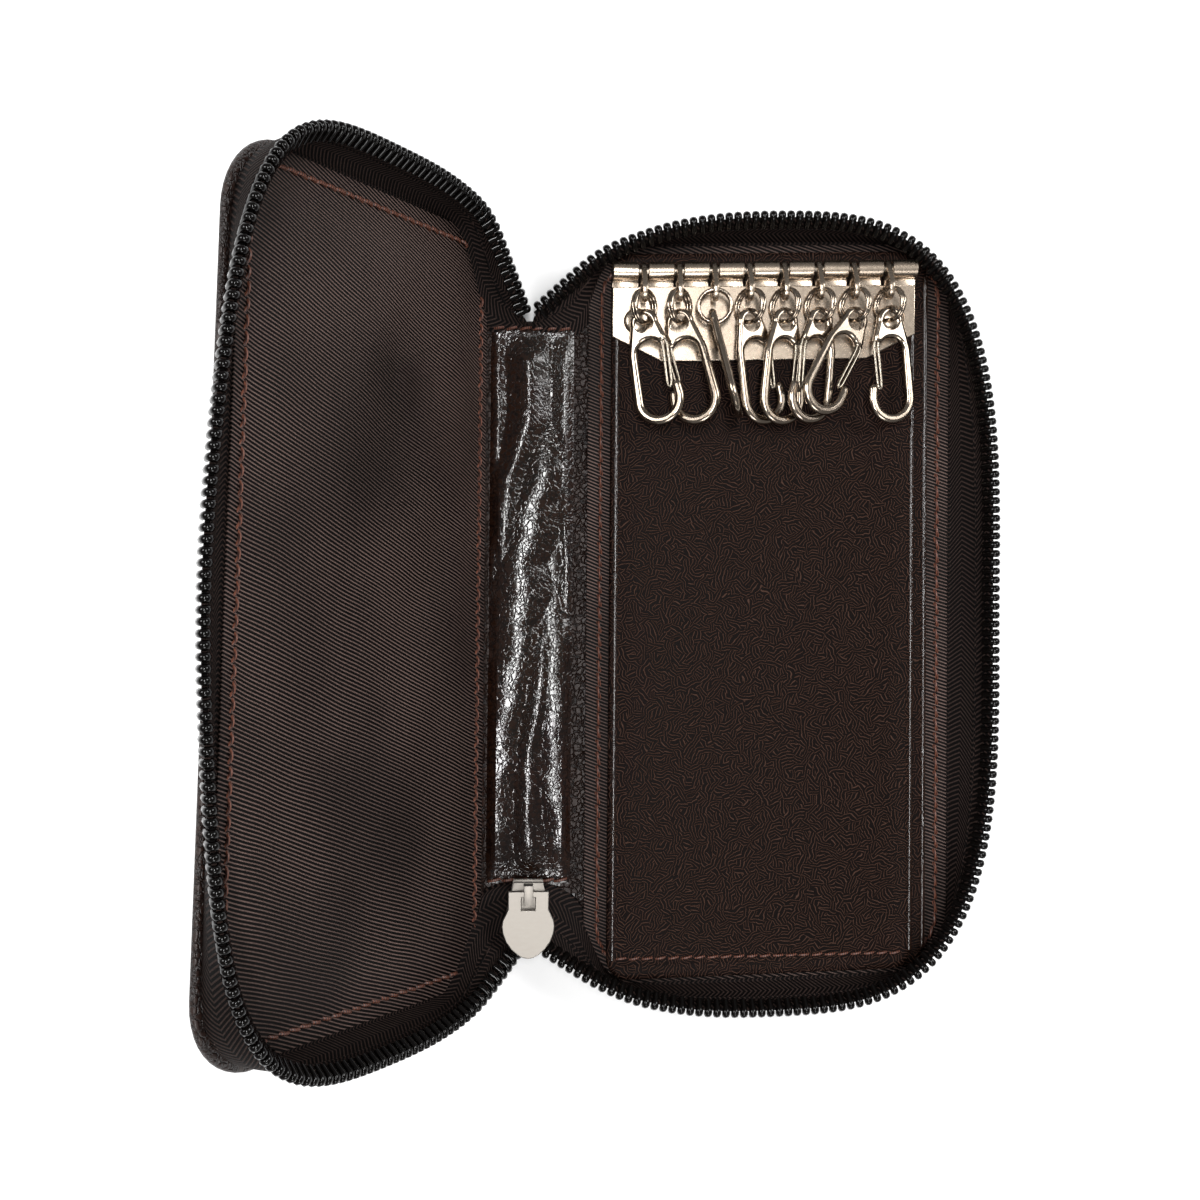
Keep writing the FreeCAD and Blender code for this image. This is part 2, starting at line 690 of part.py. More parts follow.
def tape_end_bottom():
    back = gather_sections(back_start(-1), mouth_goal(1))
    front = gather_sections(front_start(-1), mouth_goal(-1))
    return Part.makeCompound([facet_loft(back), facet_loft(front)])


def gather_teeth(start, goal):
    """Teeth along the straight gathered run, seated on the tape's upper edge."""
    seats = [(levels[0][-1] + levels[1][-1]) / 2 for levels in (start, goal)]
    run = seats[1] - seats[0]
    along = Vector(run).normalize()
    count = int((run.Length - TOOTH_DEPTH) / TOOTH_PITCH)
    teeth = []
    for index in range(count):
        outer, inner = between(start, goal, (index + 0.5) * TOOTH_PITCH / run.Length)
        outward = outer[-1] - inner[-1]
        outward = (outward - along * outward.dot(along)).normalize()
        seat = (outer[-1] + inner[-1]) / 2 + Z_AXIS * ZIP_CLEARANCE
        teeth.append(tooth(seat, along, outward))
    return teeth


def end_teeth_top():
    return Part.makeCompound(gather_teeth(back_start(1), top_goal())
                             + gather_teeth(front_start(1), top_goal()))


def end_teeth_bottom():
    return Part.makeCompound(gather_teeth(back_start(-1), mouth_goal(1))
                             + gather_teeth(front_start(-1), mouth_goal(-1)))


# Slider: two plates, a wedge between the channels and a bridge for the pull tab
SLIDER_TOP = SLIDER_HEIGHT + 2 * SLIDER_PLATE + SLIDER_CHANNEL
TAB_AXIS_Y = SLIDER_START_Y - BRIDGE_BAR - TAB_BAR
TAB_AXIS_Z = SLIDER_TOP + TAB_CLEARANCE + TAB_BAR / 2


def slider_plate(low, high):
    points = [Vector(SPINE_MID_X + x, y, low) for x, y in (
        (-SLIDER_NARROW / 2, SLIDER_START_Y), (SLIDER_NARROW / 2, SLIDER_START_Y),
        (SLIDER_WIDTH / 2, SLIDER_MOUTH_Y + SLIDER_LENGTH / 3), (SLIDER_WIDTH / 2, SLIDER_MOUTH_Y),
        (-SLIDER_WIDTH / 2, SLIDER_MOUTH_Y), (-SLIDER_WIDTH / 2, SLIDER_MOUTH_Y + SLIDER_LENGTH / 3))]
    return prism(points, Vector(0, 0, high - low))


def zip_slider():
    lower = slider_plate(SLIDER_HEIGHT, SLIDER_HEIGHT + SLIDER_PLATE)
    upper = slider_plate(SLIDER_TOP - SLIDER_PLATE, SLIDER_TOP)
    wedge_points = []
    for x, y in ((0, SLIDER_LENGTH / 2), (-MOUTH_HALF / 2, 0), (MOUTH_HALF / 2, 0)):
        wedge_points.append(Vector(SPINE_MID_X + x, SLIDER_MOUTH_Y + y, SLIDER_HEIGHT))
    wedge = prism(wedge_points, Vector(0, 0, SLIDER_TOP - SLIDER_HEIGHT))
    body = lower.fuse(upper).fuse(wedge)
    inside = TAB_BAR / 2 + TAB_CLEARANCE
    outside = inside + BRIDGE_BAR
    crown = TAB_AXIS_Z + inside
    bridge = Part.makeBox(BRIDGE_WIDTH, 2 * outside, crown + BRIDGE_BAR - SLIDER_TOP,
                          Vector(SPINE_MID_X - BRIDGE_WIDTH / 2, TAB_AXIS_Y - outside, SLIDER_TOP))
    opening = Part.makeBox(BRIDGE_WIDTH, 2 * inside, crown - SLIDER_TOP,
                           Vector(SPINE_MID_X - BRIDGE_WIDTH / 2, TAB_AXIS_Y - inside, SLIDER_TOP))
    return body.fuse(bridge.cut(opening)).removeSplitter()


def pull_tab():
    """Shield-shaped tab lying over the slider; its end bar is held under the bridge."""
    neck = TAB_NECK_WIDTH / 2
    half = TAB_WIDTH / 2
    top = TAB_BAR / 2
    tip = top - TAB_LENGTH
    widest = top - TAB_LENGTH / 2
    shoulder = top - TAB_NECK_LENGTH
    place = lambda x, y: Vector(SPINE_MID_X + x, TAB_AXIS_Y + y, TAB_AXIS_Z - TAB_THICK / 2)
    edges = [Part.makeLine(place(-neck, top), place(neck, top))]
    for side in (-1, 1):
        edges.append(Part.makeLine(place(side * neck, top), place(side * neck, shoulder)))
        edges.append(Part.makeLine(place(side * neck, shoulder), place(side * half, widest)))
        edges.append(Part.Arc(place(side * half, widest), place(side * half * 0.72, (widest + 2 * tip) / 3),
                              place(0, tip)).toShape())
    tab = Part.Face(Part.Wire(Part.__sortEdges__(edges))).extrude(Vector(0, 0, TAB_THICK))
    eye = Part.makeBox(TAB_HOLE_WIDTH, TAB_HOLE_LENGTH, TAB_THICK,
                       place(-TAB_HOLE_WIDTH / 2, -TAB_BAR / 2 - TAB_HOLE_LENGTH))
    return tab.cut(eye)


os.makedirs("parts", exist_ok=True)
save("back_cover", cover())
save("back_board", bored_for_rivets(board()))
save("back_lining", bored_for_rivets(lining()))
save("back_zip_tape", tape_wall(BACK_WALL_END))
save("back_zip_teeth", tooth_row(BACK_WALL_END))
save("pocket_panel", bored_for_rivets(pocket_panel()))
save("key_panel", bored_for_rivets(key_panel()))
save("key_plate", bored_for_rivets(key_plate()))
save("key_rod", key_rod())
save("plate_rivets", plate_rivets())
for chain in range(len(HOOK_POSES)):
    save(f"key_link_{chain + 1}", key_link(chain))
    save(f"key_ring_{chain + 1}", key_ring(chain))
    save(f"snap_hook_{chain + 1}", snap_hook(chain))
    save(f"hook_gate_{chain + 1}", hook_gate(chain))
save("spine_cover", spine_cover())
save("spine_lining", spine_lining())
save("zip_end_tape_top", tape_end_top())
save("zip_end_tape_bottom", tape_end_bottom())
save("zip_end_teeth_top", end_teeth_top())
save("zip_end_teeth_bottom", end_teeth_bottom())
save("zip_slider", zip_slider())
save("pull_tab", pull_tab())
save("front_cover", to_front(cover()))
save("front_board", to_front(board()))
save("front_lining", to_front(lining()))
save("front_zip_tape", to_front(tape_wall(FRONT_WALL_END)))
save("front_zip_teeth", to_front(tooth_row(FRONT_WALL_END)))
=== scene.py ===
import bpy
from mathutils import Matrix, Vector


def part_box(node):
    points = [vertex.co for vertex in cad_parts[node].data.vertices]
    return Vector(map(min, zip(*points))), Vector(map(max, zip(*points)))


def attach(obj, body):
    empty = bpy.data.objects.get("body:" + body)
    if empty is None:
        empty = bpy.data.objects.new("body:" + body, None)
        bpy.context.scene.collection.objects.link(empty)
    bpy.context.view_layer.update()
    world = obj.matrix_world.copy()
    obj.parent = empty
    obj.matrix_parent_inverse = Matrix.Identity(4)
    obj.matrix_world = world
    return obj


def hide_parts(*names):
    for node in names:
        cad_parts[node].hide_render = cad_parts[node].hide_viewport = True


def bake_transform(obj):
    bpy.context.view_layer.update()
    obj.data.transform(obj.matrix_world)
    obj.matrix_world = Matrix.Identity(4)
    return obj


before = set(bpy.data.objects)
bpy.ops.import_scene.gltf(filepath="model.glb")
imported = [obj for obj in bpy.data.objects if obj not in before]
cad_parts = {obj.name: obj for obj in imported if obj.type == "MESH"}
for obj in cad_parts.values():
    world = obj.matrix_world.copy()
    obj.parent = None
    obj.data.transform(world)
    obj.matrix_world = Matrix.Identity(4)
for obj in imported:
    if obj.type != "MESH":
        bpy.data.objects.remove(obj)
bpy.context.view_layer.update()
import bmesh
import bpy
import math
import numpy as np
from mathutils import Matrix, Vector


# Covers: two pieces of brown calf leather with round corners and a burnished edge, the outside of the halves.
# The zip tape, the board and the lining are sewn to each one all round.
def box_mm(node):
    """Lowest and highest corner of a solid, in mm."""
    low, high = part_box(node)
    return np.array(low) * 1000, np.array(high) * 1000


cover_low, cover_high = box_mm("back_cover")
spine_low, spine_high = box_mm("spine_cover")
HINGE_X = cover_low[0]
SPINE_X = (spine_low[0] + spine_high[0]) / 2
FRONT_HINGE_X = 2 * SPINE_X - HINGE_X
LEATHER = cover_high[2]
COVER_CORNER = 11
FRONT_RAISED = math.radians(56)
# In the photo the whole back half lies turned about two degrees against the spine,
# and the front half stands a little steeper at its top, where its free edge also draws in
BACK_SKEW = 0.035
SKEW_RUN = 16
FRONT_TWIST = math.radians(1.5)
FRONT_TAPER = 0.045


def linear(colour):
    """The linear colour that a shader takes, from an sRGB hex colour."""
    channels = [int(colour[start:start + 2], 16) / 255 for start in (1, 3, 5)]
    return [c / 12.92 if c <= 0.04045 else ((c + 0.055) / 1.055) ** 2.4 for c in channels] + [1]


def add(tree, kind, inputs, **settings):
    """One shader node with its settings; each input is a value or another node's output."""
    made = tree.nodes.new("ShaderNode" + kind)
    for key, value in settings.items():
        setattr(made, key, value)
    for socket, value in inputs.items():
        if isinstance(value, bpy.types.NodeSocket):
            tree.links.new(value, made.inputs[socket])
        else:
            made.inputs[socket].default_value = value
    return made


def new_look(name):
    """An empty material: its node tree and its shader."""
    look = bpy.data.materials.new(name)
    look.use_nodes = True
    return look, look.node_tree, look.node_tree.nodes["Principled BSDF"]


def leather_look(name, dark, light, grain, depth, roughness, lines, pore):
    """Grained leather: cells about grain mm wide with creases between them, depth mm deep.
    The creases are painted darker than the cell tops: painted shade in the creases.
    lines is how wide the creases are in a cell, and pore how much the pores roughen its top."""
    look, tree, shader = new_look(name)
    flat = add(tree, "Attribute", {}, attribute_name="flat_mm").outputs["Vector"]
    drift = add(tree, "TexNoise", {"Vector": flat, "Scale": 0.7 / grain, "Detail": 2}).outputs["Color"]
    drift = add(tree, "VectorMath", {0: drift, 1: (0.5, 0.5, 0.5)}, operation="SUBTRACT").outputs["Vector"]
    drift = add(tree, "VectorMath", {0: drift, "Scale": 2.2 * grain}, operation="SCALE").outputs["Vector"]
    bent = add(tree, "VectorMath", {0: flat, 1: drift}, operation="ADD").outputs["Vector"]
    cells = add(tree, "TexVoronoi", {"Vector": bent, "Scale": 1 / grain}, feature="DISTANCE_TO_EDGE")
    tops = add(tree, "MapRange", {0: cells.outputs[0], 1: 0.0, 2: lines}).outputs[0]
    pores = add(tree, "TexNoise", {"Vector": flat, "Scale": 2.5 / grain, "Detail": 2}).outputs[0]
    height = add(tree, "Math", {0: pores, 1: pore, 2: tops}, operation="MULTIPLY_ADD").outputs[0]
    cloud = add(tree, "TexNoise", {"Vector": flat, "Scale": 0.09, "Detail": 3}).outputs[0]
    # Colour: painted shade darkens the creases, and the cloud varies the tone at random
    tone = add(tree, "Math", {0: tops, 1: cloud}, operation="MULTIPLY").outputs[0]
    colour = add(tree, "Mix", {0: tone, 6: linear(dark), 7: linear(light)}, data_type="RGBA").outputs[2]
    rough = add(tree, "MapRange", {0: pores, 3: roughness * 0.85, 4: roughness * 1.25}).outputs[0]
    normal = add(tree, "Bump", {"Height": height, "Distance": depth / 1000, "Strength": 0.9}).outputs[0]
    tree.links.new(colour, shader.inputs["Base Color"])
    tree.links.new(rough, shader.inputs["Roughness"])
    tree.links.new(normal, shader.inputs["Normal"])
    shader.inputs["IOR"].default_value = 1.5
    return look


def raise_front(points):
    """Places on the back half, mirrored across the spine and lifted about the front hinge."""
    share = (points[:, 1] - cover_low[1]) / (cover_high[1] - cover_low[1])
    run = (2 * SPINE_X - points[:, 0] - FRONT_HINGE_X) * (1 - FRONT_TAPER * share)
    rise = points[:, 2] - LEATHER
    raised = FRONT_RAISED + FRONT_TWIST * share
    x = FRONT_HINGE_X + run * np.cos(raised) + rise * np.sin(raised)
    return np.stack([x, points[:, 1], LEATHER - run * np.sin(raised) + rise * np.cos(raised)], 1)


def settle(points):
    """The back half's small turn on the table, which dies out at the spine."""
    hold = np.clip((points[:, 0] - SPINE_X) / SKEW_RUN, 0, 1)
    return points + np.stack([0 * hold, BACK_SKEW * points[:, 0] * hold, 0 * hold], 1)


def piece(name, parts, look, place="back", flat=None, sharp=40):
    """A mesh object from (points, faces) parts; place is back, front (raised) or spine."""
    points = np.concatenate([np.asarray(part[0], float) for part in parts])
    faces = []
    start = 0
    for part in parts:
        faces += [tuple(index + start for index in face) for face in part[1]]
        start += len(part[0])
    flat = points.copy() if flat is None else np.asarray(flat, float).copy()
    if place == "front":
        flat[:, 0] = 2 * SPINE_X - flat[:, 0]
        points = raise_front(points)
        faces = [face[::-1] for face in faces]
    if place == "back":
        points = settle(points)
    mesh = bpy.data.meshes.new(name)
    mesh.from_pydata((points / 1000).tolist(), [], faces)
    places = mesh.attributes.new("flat_mm", "FLOAT_VECTOR", "POINT")
    places.data.foreach_set("vector", flat.astype(np.float32).ravel())
    mesh.shade_smooth()
    mesh.set_sharp_from_angle(angle=math.radians(sharp))
    mesh.materials.append(look)
    made = bpy.data.objects.new(name, mesh)
    bpy.context.collection.objects.link(made)
    return made


def turned(faces):
    """The same faces, seen from their other side."""
    return [face[:1] + face[:0:-1] for face in faces]


def sheet_faces(long, wide):
    """Faces of a closed sheet: a grid of points, the same grid again below it, and the rim between them."""
    count = long * wide
    faces = []
    for row in range(long - 1):
        for column in range(wide - 1):
            first = row * wide + column
            over = (first, first + 1, first + wide + 1, first + wide)
            faces.append(over)
            faces += turned([tuple(count + corner for corner in over)])
    rim = list(range(wide)) + [row * wide + wide - 1 for row in range(1, long)]
    rim += [(long - 1) * wide + column for column in range(wide - 2, -1, -1)]
    rim += [row * wide for row in range(long - 2, 0, -1)]
    for first, second in zip(rim, rim[1:] + rim[:1]):
        faces.append((first, count + first, count + second, second))
    return faces


def rounded_sheet(low, high, corner, step, rim, lift=None):
    """Thick sheet between two corners of its box, with round corners and a rolled rim.
    Its points lie about step mm apart, closer at the rim; lift(x, y, inset) raises its upper face."""
    low, high = np.array(low, float), np.array(high, float)
    middle, half = (low + high) / 2, (high - low) / 2
    straight = half[1] - corner
    ends = corner * (1 - np.cos(np.linspace(0, math.pi / 2, 12)))
    inner = np.linspace(-straight, straight, max(2, int(2 * straight / step)))[1:-1]
    rows = np.concatenate([ends - half[1], inner, (half[1] - ends)[::-1]])
    near = np.array([0, 0.06, 0.2, 0.45, 0.8])
    across = half[0] - 1.2
    across = np.linspace(-across, across, max(2, int(2 * across / step)))
    columns = np.concatenate([near - half[0], across, (half[0] - near)[::-1]]) / half[0]
    beyond = np.maximum(np.abs(rows) - straight, 0)
    widths = half[0] - corner + np.sqrt(np.maximum(corner ** 2 - beyond ** 2, 0))
    x = columns[None, :] * widths[:, None]
    y = np.repeat(rows[:, None], len(columns), 1)
    qx = np.abs(x) - half[0] + corner
    qy = np.abs(y) - half[1] + corner
    inset = corner - np.hypot(np.maximum(qx, 0), np.maximum(qy, 0)) - np.minimum(np.maximum(qx, qy), 0)
    x = x + middle[0]
    y = y + middle[1]
    roll = np.clip(rim - inset, 0, rim)
    fall = rim - np.sqrt(np.maximum(rim ** 2 - roll ** 2, 0))
    over = high[2] - fall + (lift(x, y, inset) if lift else 0)
    points = np.concatenate([np.stack([x, y, z], 2).reshape(-1, 3) for z in (over, low[2] + fall)])
    return points, sheet_faces(len(rows), len(columns))


# Aniline calf leather: deep brown, a soft shine and a pebbled grain of about a millimetre
cover_leather = leather_look("cover calf leather", "#140b08", "#33211a", 1.1, 0.16, 0.42, 0.2, 0.3)
cover_shape = rounded_sheet(cover_low * (1, 1, 0), cover_high, COVER_CORNER, 3, 0.5)
for half in ("back", "front"):
    cover = piece(half + "_cover_leather", [cover_shape], cover_leather, half)
    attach(cover, half + "_half")
    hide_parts(half + "_cover")


# Stiffening boards: grey millboard cut to shape and glued between leather and lining, closed in on all sides.
# Each one has square cut edges and moves with its half.
board_low, board_high = box_mm("back_board")
millboard, board_tree, board_shader = new_look("grey millboard")
# Pressed paper fibre: dull, with a soft mottle a few millimetres wide
board_place = add(board_tree, "Attribute", {}, attribute_name="flat_mm").outputs["Vector"]
board_fibre = add(board_tree, "TexNoise", {"Vector": board_place, "Scale": 0.3, "Detail": 4}).outputs[0]
board_tone = add(board_tree, "Mix", {0: board_fibre, 6: linear("#4b4744"), 7: linear("#6d6863")},
                 data_type="RGBA").outputs[2]
board_tree.links.new(board_tone, board_shader.inputs["Base Color"])
board_shader.inputs["Roughness"].default_value = 0.85
BOARD_CORNER = 8
board_shape = rounded_sheet(board_low, board_high, BOARD_CORNER, 3, 0.1)
for half in ("back", "front"):
    board = piece(half + "_millboard", [board_shape], millboard, half)
    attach(board, half + "_half")
    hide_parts(half + "_board")


# Zip tapes: woven polyester tape, its foot sewn between cover and lining, its wall standing up to the coil.
# Beside the spine both tapes are drawn together, to the top apex and into the slider.
TAPE_THICK, TAPE_TOP = 0.6, 6.86
# Reach at the free side, half length and squareness of the free corners; the front's top corner is squarer
ZIP_TOP, ZIP_BOTTOM = (36.0, 63.0, 3.25), (36.0, 63.7, 3.4)
ZIP_FRONT_TOP = (36.0, 63.6, 4.3)
# Towards the spine both lines flare to a longer reach and rounder corners
ZIP_REACH_TOP, ZIP_REACH_BOTTOM, ZIP_FLARE = 52.0, 54.0, 2.5
TOOTH_RUN = 1.54
# The sewn foot, 1 mm inside the cover's edge: half sizes between its corners, and their radius
FOOT_WIDE, FOOT_LONG, FOOT_CORNER = 19.75, 49.5, 10
# The front wall leans further out along its free side, most of all a little above its middle
FRONT_LEAN = math.radians(18)
LEAN_MIDDLE, LEAN_SPREAD = 0.1, 1.08
# Where the two tapes meet, and how far each one stays from that place
APEX_TOP = np.array([SPINE_X - 0.8, 46.2, 4.4])
MOUTH = np.array([SPINE_X, -52.2, 4.6])
MOUTH_HALF, APEX_SHARE = 1.7, 0.8


def tooth_radius(angle, half):
    """Polar distance of the tooth line, a superellipse that flares towards the spine."""
    cos, sin = math.cos(angle), math.sin(angle)
    reach, half_length, power = ZIP_BOTTOM if sin < 0 else ZIP_FRONT_TOP if half == "front" else ZIP_TOP
    if cos < 0:
        reach, power = ZIP_REACH_TOP if sin > 0 else ZIP_REACH_BOTTOM, ZIP_FLARE
    return (abs(cos / reach) ** power + abs(sin / half_length) ** power) ** (-1 / power)


def foot_radius(angle):
    """Polar distance of the sewn foot, a rounded rectangle, found by halving."""
    low, high = 0.0, 80.0
    for _ in range(40):
        radius = (low + high) / 2
        qx = abs(radius * math.cos(angle)) - FOOT_WIDE
        qy = abs(radius * math.sin(angle)) - FOOT_LONG
        if math.hypot(max(qx, 0), max(qy, 0)) + min(max(qx, qy), 0) < FOOT_CORNER:
            low = radius
        else:
            high = radius
    return low


def lower_front(point):
    """The place on the back half that raise_front would put at this point."""
    share = (point[1] - cover_low[1]) / (cover_high[1] - cover_low[1])
    run, rise = point[0] - FRONT_HINGE_X, point[2] - LEATHER
    raised = FRONT_RAISED + FRONT_TWIST * share
    cos, sin = math.cos(raised), math.sin(raised)
    x = 2 * SPINE_X - FRONT_HINGE_X - (run * cos - rise * sin) / (1 - FRONT_TAPER * share)
    return np.array([x, point[1], LEATHER + run * sin + rise * cos])


def lengths_along(path):
    """How far along a path each of its points lies."""
    return np.concatenate([[0], np.cumsum(np.linalg.norm(np.diff(path, axis=0), axis=1))])


def points_at(places, lengths, path):
    """The points of a path at one or more places along it."""
    return np.stack([np.interp(places, lengths, path[:, axis]) for axis in range(3)], -1)


def even(path, count):
    """The same line through evenly spaced points, and its length."""
    path = np.asarray(path, float)
    lengths = lengths_along(path)
    return points_at(np.linspace(0, lengths[-1], count), lengths, path), lengths[-1]


def soften(line, times):
    """The line with its inner points drawn towards their neighbours, several times over."""
    for _ in range(times):
        line[1:-1] = (line[:-2] + 2 * line[1:-1] + line[2:]) / 4
    return line


def tape_edges(half):
    """Foot and top edge of a tape from the slider's mouth round the free side to the top apex."""
    hinge, side, from_spine = HINGE_X, MOUTH_HALF, 2.0
    if half == "front":
        hinge, side, from_spine = FRONT_HINGE_X, -MOUTH_HALF, 9.0
    foot, top = [], []
    for angle in np.linspace(-math.pi, math.pi, 1441)[1:-1]:
        radius = tooth_radius(angle, half)
        if radius * math.cos(angle) < HINGE_X + from_spine:
            continue
        ray = np.array([math.cos(angle), math.sin(angle), 0])
        wall_foot = foot_radius(angle)
        run, rise = radius - TOOTH_RUN - wall_foot, TAPE_TOP - LEATHER
        aside = min(1, abs(angle - LEAN_MIDDLE) / LEAN_SPREAD)
        lean = FRONT_LEAN * (1 - aside ** 2) ** 2 if half == "front" else 0
        out = wall_foot + run * math.cos(lean) + rise * math.sin(lean)
        foot.append(ray * wall_foot + (0, 0, LEATHER + 0.3))
        top.append(ray * out + (0, 0, LEATHER + rise * math.cos(lean) - run * math.sin(lean)))
    # At each end the foot follows the cover's corner down to the spine's end, and then along that end
    mouth, apex = MOUTH + (side, 0, 0), APEX_TOP + (side * APEX_SHARE, 0, 0)
    for goal, spine_end, order in ((mouth, spine_low[1], -1), (apex, spine_high[1], 1)):
        bend = np.array([hinge + np.sign(side) * 1.2, spine_end - order * 1.0, LEATHER + 0.3])
        stop = np.array([SPINE_X + side * 0.1, spine_end - order * 0.8, LEATHER + 0.1])
        if half == "front":
            goal, bend, stop = (lower_front(point) for point in (goal, bend, stop))
        foot_start, top_start = (foot[-1], top[-1]) if order > 0 else (foot[0], top[0])
        foot_run, _ = even([foot_start, bend, stop], 40)
        top_run, _ = even([top_start, goal], 40)
        if order > 0:
            foot, top = foot + list(foot_run[1:]), top + list(top_run[1:])
        else:
            foot, top = list(foot_run[:0:-1]) + foot, list(top_run[:0:-1]) + top
    foot, top = np.array(foot), np.array(top)
    lengths = lengths_along(top)
    places = np.linspace(0, lengths[-1], 260)
    return [soften(points_at(places, lengths, line), 14) for line in (foot, top)]


def tangents(path):
    """Directions along a path, each of length 1."""
    along = np.gradient(path, axis=0)
    return along / np.linalg.norm(along, axis=1)[:, None]


def thick_strip(grid, thick):
    """Closed strip of cloth or leather about a grid of points, with its length and width as flat layout."""
    long, wide = grid.shape[:2]
    normal = np.cross(np.gradient(grid, axis=0), np.gradient(grid, axis=1))
    normal /= np.linalg.norm(normal, axis=2)[:, :, None]
    faced = (grid + normal * thick / 2, grid - normal * thick / 2)
    points = np.concatenate([face.reshape(-1, 3) for face in faced])
    run = np.cumsum(np.linalg.norm(np.diff(grid, axis=0, prepend=grid[:1]), axis=2).mean(1))
    out = np.cumsum(np.linalg.norm(np.diff(grid, axis=1, prepend=grid[:, :1]), axis=2), axis=1)
    layout = np.stack([np.repeat(run[:, None], wide, 1), out, 0 * out], 2).reshape(-1, 3)
    return points, turned(sheet_faces(long, wide)), np.concatenate([layout, layout])


def ring_faces(rings, sides):
    """Faces between rings of points that stand one after the other."""
    faces = []
    for ring in range(rings - 1):
        for k in range(sides):
            first, second = ring * sides + k, ring * sides + (k + 1) % sides
            faces.append((first, second, second + sides, first + sides))
    return faces


def tube(path, radius, sides):
    """Round wire or thread along a path, with closed ends."""
    path = np.asarray(path, float)
    along = tangents(path)
    normal = np.cross(along[0], (0.3, 0.5, 0.8))
    points = []
    for place, ahead in zip(path, along):
        normal = normal - ahead * normal.dot(ahead)
        normal /= np.linalg.norm(normal)
        side = np.cross(ahead, normal)
        for turn in np.arange(sides) * 2 * math.pi / sides:
            points.append(place + radius * (math.cos(turn) * normal + math.sin(turn) * side))
    ends = [tuple(range(sides))[::-1], tuple(range(len(points) - sides, len(points)))]
    return points, ends + ring_faces(len(path), sides)


def ribbed_look(name, dark, light, spacing, direction, zigzag, drift, cloud, depth, roughness):
    """Ribbed weave: ribs spacing mm apart across a flat direction; bands zigzag mm wide turn them to
    herringbone, and drift lets them wander. The thread tops are painted light as a painted highlight,
    the gaps between the ribs are painted dark as painted shade, and cloud paints soft shade over broad
    parts of the cloth."""
    look, tree, shader = new_look(name)
    flat = add(tree, "Attribute", {}, attribute_name="flat_mm").outputs["Vector"]
    phase = add(tree, "VectorMath", {0: flat, 1: (*direction, 0)}, operation="DOT_PRODUCT").outputs["Value"]
    if zigzag:
        across = add(tree, "SeparateXYZ", {0: flat}).outputs[1]
        band = add(tree, "Math", {0: across, 1: zigzag}, operation="PINGPONG").outputs[0]
        phase = add(tree, "Math", {0: band, 1: 0.8, 2: phase}, operation="MULTIPLY_ADD").outputs[0]
    wander = add(tree, "TexNoise", {"Vector": flat, "Scale": 0.07, "Detail": 1}).outputs[0]
    phase = add(tree, "Math", {0: wander, 1: drift, 2: phase}, operation="MULTIPLY_ADD").outputs[0]
    wave = add(tree, "Math", {0: phase, 1: 2 * math.pi / spacing}, operation="MULTIPLY").outputs[0]
    wave = add(tree, "Math", {0: wave}, operation="SINE").outputs[0]
    # Painted highlight on the rib tops and painted shade in the gaps between them
    rib = add(tree, "MapRange", {0: wave, 1: 0.0, 2: 0.7}).outputs[0]
    threads = add(tree, "TexNoise", {"Vector": flat, "Scale": 3 / spacing, "Detail": 2}).outputs[0]
    tone = add(tree, "Math", {0: threads, 1: rib}, operation="MULTIPLY").outputs[0]
    # Painted shade: broad noise darkens or lightens wide parts of the cloth
    broad = add(tree, "TexNoise", {"Vector": flat, "Scale": 0.035, "Detail": 2}).outputs[0]
    shades = {0: broad, 1: 0.35, 2: 0.65, 3: 1.6 * (1 - cloud), 4: 1.6 * (1 + cloud / 2)}
    broad = add(tree, "MapRange", shades).outputs[0]
    tone = add(tree, "Math", {0: tone, 1: broad}, operation="MULTIPLY", use_clamp=True).outputs[0]
    colour = add(tree, "Mix", {0: tone, 6: linear(dark), 7: linear(light)}, data_type="RGBA").outputs[2]
    height = add(tree, "Math", {0: threads, 1: 0.3, 2: rib}, operation="MULTIPLY_ADD").outputs[0]
    normal = add(tree, "Bump", {"Height": height, "Distance": depth / 1000, "Strength": 1.0}).outputs[0]
    tree.links.new(colour, shader.inputs["Base Color"])
    tree.links.new(normal, shader.inputs["Normal"])
    shader.inputs["Roughness"].default_value = roughness
    shader.inputs["Specular IOR Level"].default_value = 0.1
    return look


def bend_at_spine(soft, half):
    """Bakes a tape's or coil's placement into its mesh; both halves are treated alike."""
    if half == "back":
        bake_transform(soft)
    else:
        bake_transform(soft)


# Woven polyester tape: near black with a brown cast and dull; its herringbone ribs are drawn 0.75 mm apart,
# a little coarser than real ones, so that they show
tape_weave = ribbed_look("woven zip tape", "#050303", "#382c28", 0.75, (1, 0), 2.4, 0.5, 0.2, 0.18, 0.7)
tape_lines = {}
for half in ("back", "front"):
    foot, top = tape_edges(half)
    along = tangents(top)
    outward = np.cross(along, (0, 0, 1))
    outward /= np.linalg.norm(outward, axis=1)[:, None]
    rows = []
    for low, high, out in zip(foot, top, outward):
        # The flange under the lining narrows towards the spine; the wall bulges outward between foot and top
        flange = min(1.0, max(0.15, (low[0] - HINGE_X) / 6))
        row = [low - out * 2.4 * flange + (0, 0, 0.3), low - out * 1.0 * flange + (0, 0, 0.25)]
        middle = (low + high) / 2 + out * 0.5
        for s in np.linspace(0.04, 1, 9):
            row.append(low * (1 - s) * (1 - 2 * s) + middle * 4 * s * (1 - s) + high * s * (2 * s - 1))
        row.append(high + out * 0.55 + (0, 0, 0.65))
        rows.append(row)
    grid = np.array(rows)
    points, faces, layout = thick_strip(grid, TAPE_THICK)
    tape = piece(half + "_tape_cloth", [(points, faces)], tape_weave, half, layout)
    # The thread line woven into the tape under the coil
    line = grid[:, -5] * 0.5 + grid[:, -4] * 0.5 - outward * 0.4
    tape_line = piece(half + "_tape_line", [tube(line, 0.16, 6)], tape_weave, half)
    tape_lines[half] = (top, along, outward)
    for soft in (tape, tape_line):
        bend_at_spine(soft, half)
    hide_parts(half + "_zip_tape")
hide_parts("zip_end_tape_top", "zip_end_tape_bottom")


